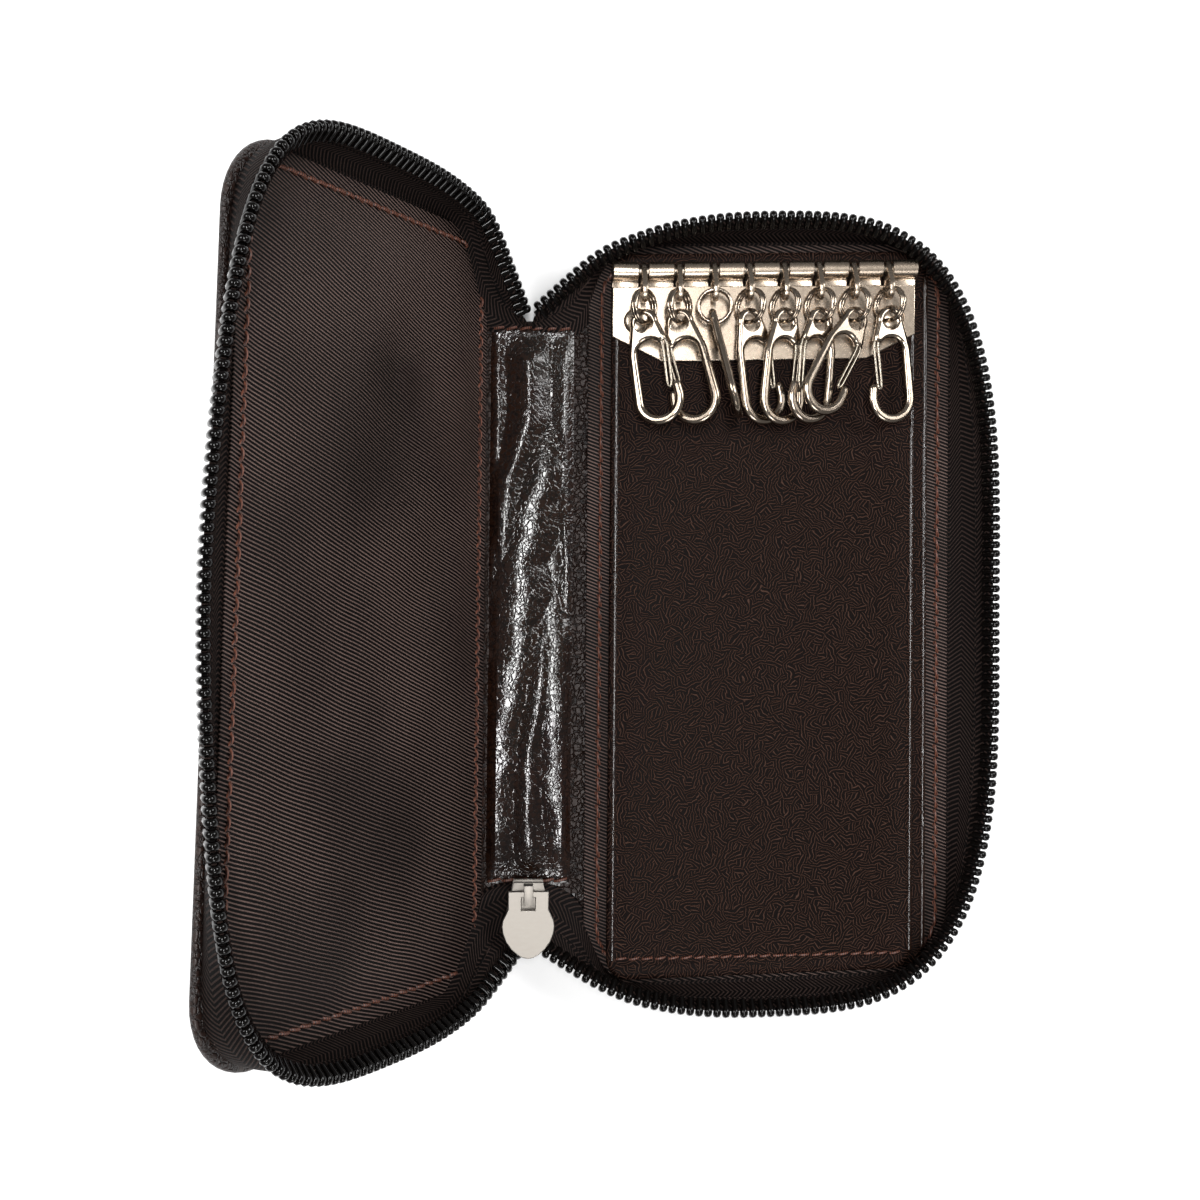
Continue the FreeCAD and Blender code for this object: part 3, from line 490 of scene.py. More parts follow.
# Zip coil: black nylon wire wound into loops with bulged heads, sewn along the edge of each tape.
# Every loop is drawn, 1.4 mm from the next, on the tape's edge and leaning outward.
TOOTH_PITCH = 1.4
TOOTH_LEAN = math.radians(40)
# Solid nylon: black and smooth, so each loop carries small sharp highlights
coil_nylon, coil_tree, coil_shader = new_look("black nylon coil")
coil_place = add(coil_tree, "TexCoord", {}).outputs["Object"]
coil_wear = add(coil_tree, "TexNoise", {"Vector": coil_place, "Scale": 900, "Detail": 2}).outputs[0]
coil_tone = add(coil_tree, "Mix", {0: coil_wear, 6: linear("#030202"), 7: linear("#0b0908")},
                data_type="RGBA").outputs[2]
coil_rough = add(coil_tree, "MapRange", {0: coil_wear, 3: 0.05, 4: 0.14}).outputs[0]
coil_tree.links.new(coil_tone, coil_shader.inputs["Base Color"])
coil_tree.links.new(coil_rough, coil_shader.inputs["Roughness"])
coil_shader.inputs["IOR"].default_value = 1.5
coil_shader.inputs["Specular IOR Level"].default_value = 0.24
# One loop: its wire's middle line across the tape's edge and up from it, and half the wire's width on the way
loop = np.array([(-0.56, -0.5), (-0.56, 0.1), (-0.56, 0.7), (-0.54, 1.2), (-0.38, 1.6), (0, 1.78),
                 (0.38, 1.6), (0.54, 1.2), (0.56, 0.7), (0.56, 0.1), (0.56, -0.5)])
loop_wide = np.array([0.5, 0.55, 0.46, 0.54, 0.58, 0.58, 0.58, 0.54, 0.46, 0.55, 0.5])
LOOP_THICK = 0.42
LOOP_SIDES = 8
loop_points = []
for place, ahead, wide in zip(loop, tangents(loop), loop_wide):
    for turn in np.arange(LOOP_SIDES) * 2 * math.pi / LOOP_SIDES:
        thick = LOOP_THICK * math.cos(turn)
        loop_points.append((wide * math.sin(turn), place[0] - ahead[1] * thick, place[1] + ahead[0] * thick))
loop_points = np.array(loop_points)
loop_faces = [tuple(range(LOOP_SIDES)), tuple(range(len(loop_points) - LOOP_SIDES, len(loop_points)))[::-1]]
loop_faces += turned(ring_faces(len(loop), LOOP_SIDES))
for half in ("back", "front"):
    top = tape_lines[half][0]
    lengths = lengths_along(top)
    loops = []
    for place in np.arange(TOOTH_PITCH / 2, lengths[-1], TOOTH_PITCH):
        seat, ahead, out = (points_at(place, lengths, line) for line in tape_lines[half])
        up = np.cross(out, ahead)
        reach = out * math.sin(TOOTH_LEAN) + up * math.cos(TOOTH_LEAN)
        across = out * math.cos(TOOTH_LEAN) - up * math.sin(TOOTH_LEAN)
        loops.append((seat + loop_points @ np.array([ahead, across, reach]), loop_faces))
    coil = piece(half + "_coil", loops, coil_nylon, half, sharp=80)
    bend_at_spine(coil, half)
    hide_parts(half + "_zip_teeth")
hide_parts("zip_end_teeth_top", "zip_end_teeth_bottom")


# Linings: polyester twill glued over the boards and sewn down all round with brown thread.
# The front one stands off its board in soft swells; the back one lies flat under the leather panels.
lining_low, lining_high = box_mm("back_lining")
LINING_CORNER = 8.6
# Swells of the front lining: place from the hinge and the middle, half sizes, turn in degrees and height
SWELLS = ((14, 9, 5, 12, 35, -0.7), (27, -40, 6, 18, -50, -0.9), (36, 25, 7, 22, 25, 0.6),
          (22, -18, 6, 18, 30, 0.8), (45, -20, 6, 24, 20, -0.5), (24, 34, 7, 14, 20, -0.9))


def stitches(path, pitch, length, radius, up, slant, seed):
    """Sewn stitches along a path: short arched threads that dive into the cloth at both ends."""
    path, total = even(path, 400)
    along = tangents(path)
    shake = np.random.default_rng(seed)
    places = np.linspace(0, total, 400)
    made = []
    for place in np.arange(pitch / 2, total, pitch):
        middle, ahead = (points_at(place, places, line) for line in (path, along))
        side = np.cross(up, ahead)
        ahead = ahead + side * (slant + shake.normal(0, 0.05))
        reach = length / 2 * shake.uniform(0.88, 1.1)
        line = [middle + ahead * reach * s + np.array(up) * radius * (1.1 - 2.6 * abs(s) ** 3)
                for s in (-1, -0.75, -0.35, 0, 0.35, 0.75, 1)]
        made.append(tube(line, radius, 6))
    return made


def arc(x, y, radius, start, end, count):
    """Points on a circle between two angles in degrees."""
    return [(x + radius * math.cos(turn), y + radius * math.sin(turn))
            for turn in np.radians(np.linspace(start, end, count))]


def round_path(low, high, corner, level):
    """Closed line round a rectangle with round corners."""
    left, bottom = low[0] + corner, low[1] + corner
    right, top = high[0] - corner, high[1] - corner
    path = []
    for x, y, start in ((right, top, 0), (left, top, 90), (left, bottom, 180), (right, bottom, 270)):
        path += [(*point, level) for point in arc(x, y, corner, start, start + 90, 12)]
    return path + path[:1]


def front_swell(x, y, inset):
    """Soft swells and hollows of the front lining, held down at its sewn rim.
    The last hollow leaves room for the hook that stands on edge when the case is closed."""
    hold = np.clip((inset - 2.5) / 7, 0, 1)
    hold = hold * hold * (3 - 2 * hold)
    swell = np.full(x.shape, 0.55)
    for from_hinge, centre_y, wide, long, turn, height in SWELLS:
        cos, sin = math.cos(math.radians(turn)), math.sin(math.radians(turn))
        dx, dy = x - HINGE_X - from_hinge, y - centre_y
        across, along = (dx * cos + dy * sin) / wide, (dy * cos - dx * sin) / long
        swell = swell + height * np.exp(-across ** 2 - along ** 2)
    return np.maximum(swell, 0.02) * hold


# Polyester twill: brown-black and soft; its ribs fall to the right at twenty degrees and are drawn
# 0.52 mm apart, a little coarser than real ones, so that they show
twill = ribbed_look("polyester twill lining", "#030202", "#67554f", 0.52, (0.342, 0.94),
                    0, 1.2, 0.45, 0.1, 0.6)
# Waxed thread: red-brown, with the twist of its plies as fine bands
brown_thread, thread_tree, thread_shader = new_look("red-brown sewing thread")
thread_place = add(thread_tree, "Attribute", {}, attribute_name="flat_mm").outputs["Vector"]
thread_twist = add(thread_tree, "TexWave",
                   {"Vector": thread_place, "Scale": 0.9, "Distortion": 1.0}).outputs[1]
thread_tone = add(thread_tree, "Mix", {0: thread_twist, 6: linear("#24120d"), 7: linear("#6c4030")},
                  data_type="RGBA").outputs[2]
thread_tree.links.new(thread_tone, thread_shader.inputs["Base Color"])
thread_shader.inputs["Roughness"].default_value = 0.5
# The cloth runs on over the tape's sewn foot, up to the wall
lining_low += (-1.1, -0.9, 0)
lining_high += (1.0, 0.9, 0)
for half in ("back", "front"):
    swell = front_swell if half == "front" else None
    shape = rounded_sheet(lining_low, lining_high, LINING_CORNER, 1.2, 0.18, swell)
    lining = piece(half + "_twill", [shape], twill, half)
    seam = round_path(lining_low + (2.1, 2.5, 0), lining_high - (1.9, 2.5, 0), 6.4, lining_high[2])
    seam = stitches(seam, 2.1, 1.95, 0.26, (0, 0, 1), 0.2, 4)
    seam = piece(half + "_lining_stitches", seam, brown_thread, half)
    for soft in (lining, seam):
        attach(soft, half + "_half")
    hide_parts(half + "_lining")
    # The same thread shows outside, in a line round the cover
    level = 0.3 if half == "back" else 0.12
    outside = round_path(cover_low + (2.6, 2.6, 0), cover_high - (2.6, 2.6, 0), COVER_CORNER - 2.6, level)
    outside = stitches(outside, 2.5, 2.0, 0.24, (0, 0, -1), 0.06, 30)
    outside = piece(half + "_cover_stitches", outside, brown_thread, half)
    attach(outside, half + "_half")


# Key panel and the pocket layer under it: two layers of printed side leather, sewn together at the foot.
# The long edges are turned over, creased and burnished.
PANEL_CORNER = 3.2
# The pocket layer is drawn this much narrower, so that only a thin strip of it shows
POCKET_SHORT = 2.1


def panel_relief(x, y, inset):
    """Turned edges that stand up a little, with the crease line beside them."""
    edge = 0.16 * np.exp(-((inset - 0.9) / 0.7) ** 2)
    return edge - 0.14 * np.exp(-((inset - 1.95) / 0.16) ** 2)


panel_leather, panel_tree, panel_shader = new_look("printed side leather")
# Embossed by a hot plate: patches of two or three short lines 0.46 mm apart, each patch turned its own way.
# The lines are drawn a little coarser than real ones, so that they show
LINE_SPACING = 0.46
panel_flat = add(panel_tree, "Attribute", {}, attribute_name="flat_mm").outputs["Vector"]
panel_bend = add(panel_tree, "TexNoise", {"Vector": panel_flat, "Scale": 0.5, "Detail": 1}).outputs["Color"]
panel_bend = add(panel_tree, "VectorMath", {0: panel_bend, "Scale": 1.3}, operation="SCALE").outputs["Vector"]
panel_bent = add(panel_tree, "VectorMath", {0: panel_flat, 1: panel_bend}, operation="ADD").outputs["Vector"]
panel_cell = add(panel_tree, "TexVoronoi", {"Vector": panel_bent, "Scale": 0.85}, voronoi_dimensions="2D")
panel_local = add(panel_tree, "VectorMath", {0: panel_bent, 1: panel_cell.outputs["Position"]},
                  operation="SUBTRACT").outputs["Vector"]
panel_split = add(panel_tree, "SeparateXYZ", {0: panel_local}).outputs
panel_turn = add(panel_tree, "SeparateColor", {0: panel_cell.outputs["Color"]}).outputs[0]
panel_turn = add(panel_tree, "Math", {0: panel_turn, 1: 2 * math.pi}, operation="MULTIPLY").outputs[0]
panel_cos = add(panel_tree, "Math", {0: panel_turn}, operation="COSINE").outputs[0]
panel_sin = add(panel_tree, "Math", {0: panel_turn}, operation="SINE").outputs[0]
panel_part = add(panel_tree, "Math", {0: panel_split[0], 1: panel_cos}, operation="MULTIPLY").outputs[0]
panel_part = add(panel_tree, "Math", {0: panel_split[1], 1: panel_sin, 2: panel_part},
                 operation="MULTIPLY_ADD").outputs[0]
panel_wave = add(panel_tree, "Math", {0: panel_part, 1: 2 * math.pi / LINE_SPACING},
                 operation="MULTIPLY").outputs[0]
panel_wave = add(panel_tree, "Math", {0: panel_wave}, operation="COSINE").outputs[0]
panel_line = add(panel_tree, "MapRange", {0: panel_wave, 1: 0.5, 2: 1.0}).outputs[0]
panel_pores = add(panel_tree, "TexNoise", {"Vector": panel_flat, "Scale": 3.5, "Detail": 3}).outputs[0]
panel_tone = add(panel_tree, "Mix", {0: panel_pores, 6: linear("#080403"), 7: linear("#0e0706")},
                 data_type="RGBA").outputs[2]
# The embossed lines are painted lighter than the dark ground: a painted highlight on their ridges
panel_colour = add(panel_tree, "Mix", {0: panel_line, 6: panel_tone, 7: linear("#422f27")},
                   data_type="RGBA").outputs[2]
panel_height = add(panel_tree, "Math", {0: panel_pores, 1: 0.25, 2: panel_line},
                   operation="MULTIPLY_ADD").outputs[0]
panel_normal = add(panel_tree, "Bump", {"Height": panel_height, "Distance": 0.00006, "Strength": 1.0})
panel_tree.links.new(panel_colour, panel_shader.inputs["Base Color"])
panel_tree.links.new(panel_normal.outputs[0], panel_shader.inputs["Normal"])
panel_shader.inputs["Roughness"].default_value = 0.45
panel_shader.inputs["Specular IOR Level"].default_value = 0.04
# Burnished leather edge: black-brown, waxed and rubbed to a gloss
burnished_edge = leather_look("burnished leather edge", "#0c0605", "#2a1a12", 1.4, 0.02, 0.15, 0.1, 0.1)
for name in ("pocket_panel", "key_panel"):
    low, high = box_mm(name)
    if name == "pocket_panel":
        high[0] -= POCKET_SHORT
    shape = rounded_sheet(low, high, PANEL_CORNER, 1.5, 0.3, panel_relief)
    panel = piece(name + "_leather", [shape], panel_leather)
    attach(panel, "back_half")
    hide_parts(name)
    # Turned edges are burnished round and smooth, so each one carries a bright line
    welts = []
    for x in (low[0] + 0.9, high[0] - 0.25) if name == "key_panel" else (high[0] - 0.25,):
        points, faces = tube([(x, y, 0) for y in np.linspace(low[1] + 3, high[1] - 4, 40)], 0.36, 14)
        welts.append((np.array(points) * (1, 1, 0.5) + (0, 0, high[2] + 0.06), faces))
    welt = piece(name + "_edges", welts, burnished_edge)
    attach(welt, "back_half")
panel_low, panel_high = low, high
foot_seam = [(panel_low[0] + 1.2, panel_low[1] + 3.4, panel_high[2]),
             (panel_high[0] - 1, panel_low[1] + 2.6, panel_high[2])]
foot_seam = stitches(foot_seam, 2.1, 1.8, 0.2, (0, 0, 1), 0.15, 11)
foot_stitches = piece("panel_foot_stitches", foot_seam, brown_thread)
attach(foot_stitches, "back_half")


# Key plate, rod and rivets: nickel-plated steel sheet whose upper edge is cut into nine tongues.
# Each tongue is rolled round the rod; two domed rivets hold the plate through the panel.
plate_low, plate_high = box_mm("key_plate")
PLATE_X = (plate_low[0] + plate_high[0]) / 2
ROD_Y, ROD_Z, ROD_RADIUS = 54.2, 5.65, 0.75
BARRELS, BARREL_PITCH, BARREL_WIDTH, BARREL_RADIUS = 9, 5.6, 4.05, 1.2
SHEET_HALF = 0.25
RIVETS_X, RIVET_Y, RIVET_SIDES = (-21.93, 19.13), 46.4, 32


def metal_look(name, colour, shade, roughness, brushed):
    """Metal with rubs about 0.7 mm wide in its polish; brushed stretches them along X."""
    look, tree, shader = new_look(name)
    flat = add(tree, "Attribute", {}, attribute_name="flat_mm").outputs["Vector"]
    drawn = add(tree, "VectorMath", {0: flat, 1: (1 - brushed * 0.9, 1, 1)}, operation="MULTIPLY")
    rub = add(tree, "TexNoise", {"Vector": drawn.outputs["Vector"], "Scale": 1.4, "Detail": 4}).outputs[0]
    tone = add(tree, "Mix", {0: rub, 6: linear(shade), 7: linear(colour)}, data_type="RGBA").outputs[2]
    rough = add(tree, "MapRange", {0: rub, 3: roughness - 0.04, 4: roughness + 0.04}).outputs[0]
    tree.links.new(tone, shader.inputs["Base Color"])
    tree.links.new(rough, shader.inputs["Roughness"])
    shader.inputs["Metallic"].default_value = 1.0
    return look


def cut_plate(name, outlines, low, high, round_over):
    """Flat plate from outlines in its own plane, holes among them, with rounded edges."""
    curve = bpy.data.curves.new(name + "_outline", "CURVE")
    curve.dimensions = "2D"
    curve.fill_mode = "BOTH"
    curve.extrude = ((high - low) / 2 - round_over) / 1000
    curve.bevel_depth = round_over / 1000
    curve.bevel_resolution = 2
    for outline in outlines:
        spline = curve.splines.new("POLY")
        spline.points.add(len(outline) - 1)
        for point, (x, y) in zip(spline.points, outline):
            point.co = (x / 1000, y / 1000, 0, 1)
        spline.use_cyclic_u = True
    shape = bpy.data.objects.new(name + "_outline", curve)
    bpy.context.collection.objects.link(shape)
    bpy.context.view_layer.update()
    mesh = bpy.data.meshes.new_from_object(shape.evaluated_get(bpy.context.evaluated_depsgraph_get()))
    bpy.data.objects.remove(shape)
    points = np.array([vertex.co for vertex in mesh.vertices]) * 1000 + (0, 0, (low + high) / 2)
    faces = [tuple(polygon.vertices) for polygon in mesh.polygons]
    bpy.data.meshes.remove(mesh)
    return points, faces


def circle(x, y, radius, sides):
    """Points all round a circle."""
    return [(x + radius * math.cos(turn), y + radius * math.sin(turn))
            for turn in np.arange(sides) * 2 * math.pi / sides]


# Bright nickel: warm grey and softly polished, so it blurs the light and the dark leather that it mirrors
nickel = metal_look("bright nickel plate", "#bdae9d", "#b2a291", 0.27, 0.0)
half_row = (plate_high[0] - plate_low[0]) / 2
# Right half of the plate below its tongues, from the row's middle and the rod
edge = half_row - 0.15
right = [(half_row - 8.0, -14.05), (edge, -10.3), (edge, -2.6)]
outline = [(PLATE_X + x, ROD_Y + y) for x, y in [(-x, y) for x, y in right[::-1]] + right]
plate_parts = [cut_plate("plate", [outline], 4.2, 5.0, 0.15)]
roll = np.array([(-2.9, -BARREL_RADIUS)] + arc(0, 0, BARREL_RADIUS, -90, 205, 30))
ahead = tangents(roll)
side = np.stack([-ahead[:, 1], ahead[:, 0]], 1)
section = np.concatenate([roll + side * SHEET_HALF, (roll - side * SHEET_HALF)[::-1]])
count = len(section)
for index in range(BARRELS):
    left = PLATE_X - half_row + index * BARREL_PITCH
    ends = (left, left + BARREL_WIDTH)
    points = []
    for x, shrink in ((ends[0], 0.06), (ends[0] + 0.1, 0), (ends[1] - 0.1, 0), (ends[1], 0.06)):
        points += [(x, ROD_Y + y * (1 - shrink), ROD_Z + z * (1 - shrink)) for y, z in section]
    faces = ring_faces(4, count)
    for start, flip in ((0, 1), (3 * count, -1)):
        for k in range(count // 2 - 1):
            quad = (start + k, start + count - 1 - k, start + count - 2 - k, start + k + 1)
            faces.append(quad[::flip])
    plate_parts.append((points, faces))
plate = piece("nickel_key_plate", plate_parts, nickel)
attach(plate, "back_half")
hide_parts("key_plate")
# Drawn steel rod: a shade darker and duller than the plate
rod_steel = metal_look("drawn steel rod", "#b3aa9d", "#8c8378", 0.3, 1.0)
rod_line = [(plate_low[0] + x, ROD_Y, ROD_Z) for x in np.linspace(0, 2 * half_row, 12)]
rod = piece("steel_rod", [tube(rod_line, ROD_RADIUS, 24)], rod_steel)
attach(rod, "back_half")
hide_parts("key_rod")
# Radius and height of each step of a rivet's dome
dome = [(2.0, 4.95), (2.1, 5.05), (2.08, 5.15), (1.85, 5.38), (1.4, 5.56), (0.8, 5.67), (0.02, 5.7)]
domes = []
for x in RIVETS_X:
    points = [(*point, z) for radius, z in dome for point in circle(x, RIVET_Y, radius, RIVET_SIDES)]
    domes.append((points, ring_faces(len(dome), RIVET_SIDES)))
rivets = piece("domed_rivets", domes, nickel)
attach(rivets, "back_half")
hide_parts("plate_rivets")


# Key chains: a flat link on the rod, a split ring, a cast snap hook and its sprung wire gate, eight times.
# The hooks are tumbled, nickel plated and lie across each other on the panel.
# Each hook's swing, roll, pitch and turn in degrees, and the side of its gate
HOOK_POSES = ((12, -20, 0, 0, 1), (12, -20, 0, 0, -1), (0, 80, 15, 12, 1), (12, 20, 0, 0, 1),
              (-2, 20, 0, 0, 1), (-8, 20, 0, 0, -1), (-26, 20, 0, 0, 1), (2, 14, 0, 0, -1))
RING_RADIUS, RING_WIRE, RING_STEP = 2.6, 0.34, 0.3
# A ring leans against the roll of its hook, by this share of what the roll leaves of a right angle
RING_LEAN = 0.68
LINK_RISE = math.radians(28)
LINK_REACH = 3.9
HOOK_HALF, HOOK_ROUND = 0.6, 0.59
GATE_WIRE = 0.24


def slot_width(drop, start, start_radius, end, end_radius):
    """Half width, at a drop, of two circles joined by their tangent lines."""
    lean = (end_radius - start_radius) / (end - start)
    first, last = start - start_radius * lean, end - end_radius * lean
    if drop < first:
        return math.sqrt(max(start_radius ** 2 - (drop - start) ** 2, 0))
    if drop > last:
        return math.sqrt(max(end_radius ** 2 - (drop - end) ** 2, 0))
    level = math.sqrt(1 - lean ** 2)
    return level * (start_radius + (end_radius - start_radius) * (drop - first) / (last - first))


def drops(low, high, count):
    """Places from low to high that stand closer together at both ends."""
    return [low + (high - low) * (1 - math.cos(math.pi * k / count)) / 2 for k in range(count + 1)]


def hook_outline(grow):
    """The hook's outline with its open mouth at +X, drawn in by grow so that its edges can be rounded."""
    def outer(drop):
        return max(slot_width(drop, 0, 2.15 - grow, 5.2, 3.5 - grow),
                   slot_width(drop, 5.2, 3.5 - grow, 12.4, 4.05 - grow))

    def inner(drop):
        return slot_width(drop, 4.9, 2.1 + grow, 12.4, 2.5 + grow)

    outside = drops(-2.15 + grow, 16.45 - grow, 56)
    inside = drops(2.8 - grow, 14.9 + grow, 44)
    mouth_top, mouth_low = 3.4 - grow * 0.5, 10.9
    shape = [(outer(drop), -drop) for drop in outside if drop <= mouth_top]
    shape += [(inner(drop), -drop) for drop in inside[::-1] if drop <= mouth_top]
    shape += [(-inner(drop), -drop) for drop in inside]
    shape += [(inner(drop), -drop) for drop in inside[::-1] if drop >= mouth_low]
    middle = (inner(mouth_low) + outer(mouth_low)) / 2
    reach = (outer(mouth_low) - inner(mouth_low)) / 2
    shape += arc(middle, -mouth_low, reach, 150, 30, 5)
    shape += [(outer(drop), -drop) for drop in outside if drop >= mouth_low]
    shape += [(-outer(drop), -drop) for drop in outside[::-1]]
    tidy = []
    for point in shape:
        if not tidy or math.dist(point, tidy[-1]) > 0.04:
            tidy.append(point)
    return tidy


# Tumbled nickel on zinc: polished all round by tumbling, so its round limbs carry narrow highlights
hook_nickel = metal_look("tumbled nickel hook", "#b5a797", "#8c7f72", 0.18, 0.0)
# Sprung steel wire: greyer and darker than the plating
gate_steel = metal_look("spring steel wire", "#a39a8d", "#7d756a", 0.24, 0.0)
hook_hole = circle(0, 0, 1.1 + HOOK_ROUND, 28)
hook_shape = cut_plate("hook", [hook_outline(HOOK_ROUND), hook_hole], -HOOK_HALF, HOOK_HALF, HOOK_ROUND)
link_outline = arc(0, 0, 1.25, 0, 180, 14) + arc(0, -LINK_REACH, 1.7, 180, 360, 14)
link_holes = [circle(0, 0, 1.0, 20), circle(0, -LINK_REACH, 1.5, 20)]
link_shape = cut_plate("link", [link_outline] + link_holes, -0.42, 0.42, 0.15)
gate_line = [(2.75, -3.3, 0), (2.95, -3.9, 0), (2.4, -10.6, 0), (2.1, -11.25, 0), (1.75, -10.9, 0),
             (1.72, -10.4, 0), (2.22, -3.9, 0), (2.1, -3.4, 0)]
gate_line, _ = even(gate_line, 40)
gate_line = soften(gate_line, 3)
coil_turn = np.linspace(0, 4 * math.pi, 72)
coil_step = RING_STEP * np.tanh(6 * (coil_turn / (2 * math.pi) - 1))
ring_line = np.stack([RING_RADIUS * np.sin(coil_turn), -RING_RADIUS * np.cos(coil_turn), coil_step], 1)
for index, (swing, roll, pitch, turn, gate_side) in enumerate(HOOK_POSES):
    x = PLATE_X - half_row + (index + 1) * BARREL_PITCH - (BARREL_PITCH - BARREL_WIDTH) / 2
    ring_top = np.array([x, ROD_Y - LINK_REACH * math.cos(LINK_RISE),
                         ROD_Z + LINK_REACH * math.sin(LINK_RISE)])
    eye = ring_top - (0, 2 * RING_RADIUS, 0)
    lift = Matrix.Rotation(-LINK_RISE, 3, "X") @ Matrix.Rotation(math.pi / 2, 3, "Y")
    link = link_shape[0] @ np.array(lift).T + (x, ROD_Y, ROD_Z)
    link = piece(f"link_{index + 1}", [(link, link_shape[1])], nickel)
    tilt = -math.copysign(math.radians(RING_LEAN * (90 - abs(roll))), roll)
    wire = ring_line @ np.array(Matrix.Rotation(tilt, 3, "Y")).T + ring_top - (0, RING_RADIUS, 0)
    ring = piece(f"ring_{index + 1}", [tube(wire, RING_WIRE, 10)], hook_nickel)
    stand = Matrix.Rotation(math.radians(turn), 3, "Z") @ Matrix.Rotation(math.radians(-pitch), 3, "X")
    stand = stand @ Matrix.Rotation(math.radians(roll), 3, "Y") @ Matrix.Rotation(math.radians(swing), 3, "Z")
    stand = np.array(stand).T
    flip = np.array((gate_side, 1, 1))
    order = [face[::gate_side] for face in hook_shape[1]]
    hook = piece(f"hook_{index + 1}", [((hook_shape[0] * flip) @ stand + eye, order)], hook_nickel, sharp=60)
    wire = (gate_line * flip) @ stand + eye
    gate = piece(f"gate_{index + 1}", [tube(wire, GATE_WIRE, 10)], gate_steel)
    for part, body, node, slot in ((link, "link", "key_link", "nickel_plate"),
                                   (ring, "ring", "key_ring", "hook_nickel"),
                                   (hook, "hook", "snap_hook", "hook_nickel"),
                                   (gate, "gate", "hook_gate", "gate_wire")):
        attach(part, f"{body}_{index + 1}")
        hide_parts(f"{node}_{index + 1}")


# Spine: a strip of the cover leather outside and a loose strip of glazed leather inside, sewn at both ends.
# The inner strip is wider than its place, so it stands up in long folds with crackled, shiny crests.
SPINE_TOP, SPINE_BOTTOM, SPINE_CORNER = 46.0, -44.6, 0.8
# Each fold: its crest as (y, x) points, half its flat top's width, how softly that turns down, and its height
RIDGES = (
    (((50, -39.2), (38, -38.9), (30, -38.9), (24.6, -40.6), (20.8, -41.9), (16, -42.5), (4, -43)),
     0.2, 0.3, 0.95),
    (((30, -35.5), (21.7, -36.4), (15, -38.3), (8.3, -39.7), (1.5, -40), (-4.2, -40.2), (-12, -41.3),
      (-17.7, -42.5), (-27, -43.5), (-37, -44.3), (-50, -44.6)), 0.4, 1.6, 0.9),
    (((0, -36), (-10, -36.5), (-16.7, -37.2), (-22.5, -38.4), (-32, -38.6), (-42, -38.1), (-50, -38)),
     0.2, 0.3, 0.95),
    (((2, -34.8), (-12, -34.5), (-27, -34.3), (-33, -33.5), (-40, -32.7), (-50, -32.4)), 0.3, 1.3, 0.8),
    (((50, -33.3), (30, -33.1), (20, -32.8), (8, -32.4)), 0.1, 0.5, 0.5),
    (((50, -44.6), (26, -44.4), (6, -44.6), (0, -44.8)), 0.15, 0.6, 0.35),
)


def spine_folds(x, y, inset):
    """Long folds with shiny tops and sharp valleys, lower where the strip is sewn down at both ends."""
    rise = np.full(x.shape, -0.6)
    for order, (line, flat_top, soft, height) in enumerate(RIDGES):
        line = np.array(sorted(line))
        waver = soft * (0.16 * np.sin(0.7 * y + 3 * order) + 0.08 * np.sin(1.9 * y + order))
        swell = flat_top * (1 + 0.5 * np.sin(0.5 * y + order) + 0.3 * np.sin(1.3 * y + 2 * order))
        away = np.maximum(np.abs(x + waver - np.interp(y, line[:, 0], line[:, 1])) - swell, 0)
        ends = np.clip((y - line[0, 0]) / 8, 0, 1) * np.clip((line[-1, 0] - y) / 8, 0, 1)
        rise = np.maximum(rise, height * ends - 0.3 * (np.sqrt(away ** 2 + soft ** 2) - soft))
    sewn = np.clip((SPINE_TOP - 1.6 - y) / 5, 0.2, 1) * np.clip((y - SPINE_BOTTOM - 1.6) / 5, 0.2, 1)
    # The long edges are skived thin, so that they clear the linings when the case is closed
    return rise * sewn * np.clip((inset - 0.6) / 1.4, 0, 1) - 0.35 * np.exp(-(inset / 0.9) ** 2)


# Glazed leather: almost black brown, glossy, crackled where it has been bent many times
spine_leather = leather_look("glazed spine leather", "#0a0504", "#2a180f", 0.95, 0.02, 0.14, 0.16, 0.02)
strip_low = (FRONT_HINGE_X + 0.3, SPINE_BOTTOM, LEATHER)
strip_high = (HINGE_X - 0.3, SPINE_TOP, LEATHER + 0.9)
spine_shape = rounded_sheet(strip_low, strip_high, SPINE_CORNER, 0.28, 0.3, spine_folds)
spine_inside = piece("spine_inside_leather", [spine_shape], spine_leather, "spine", sharp=14)
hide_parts("spine_lining")
spine_back = rounded_sheet(spine_low * (1, 1, 0), (*spine_high[:2], LEATHER), SPINE_CORNER, 2, 0.4)
spine_outside = piece("spine_outside_leather", [spine_back], cover_leather, "spine")
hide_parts("spine_cover")
seams = []
for seed, y in enumerate((SPINE_TOP - 1.3, SPINE_BOTTOM + 1.3)):
    seam = [(x, y, LEATHER + 1.05) for x in (FRONT_HINGE_X + 1.2, HINGE_X - 1.2)]
    seams += stitches(seam, 2.1, 1.9, 0.22, (0, 0, 1), 0.2, 20 + seed)
spine_seams = piece("spine_stitches", seams, brown_thread, "spine")
for part, slot in ((spine_inside, "spine_leather"), (spine_outside, "cover_leather"),
                   (spine_seams, "spine_leather")):
    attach(part, "spine")
# Beside the folds the same leather runs on, over both hinges and under the linings, its glaze gone dull
hinge_leather = leather_look("dull hinge leather", "#0a0504", "#2a180f", 0.95, 0.12, 0.36, 0.16, 0.1)
hinge_leather.node_tree.nodes["Principled BSDF"].inputs["Specular IOR Level"].default_value = 0.18
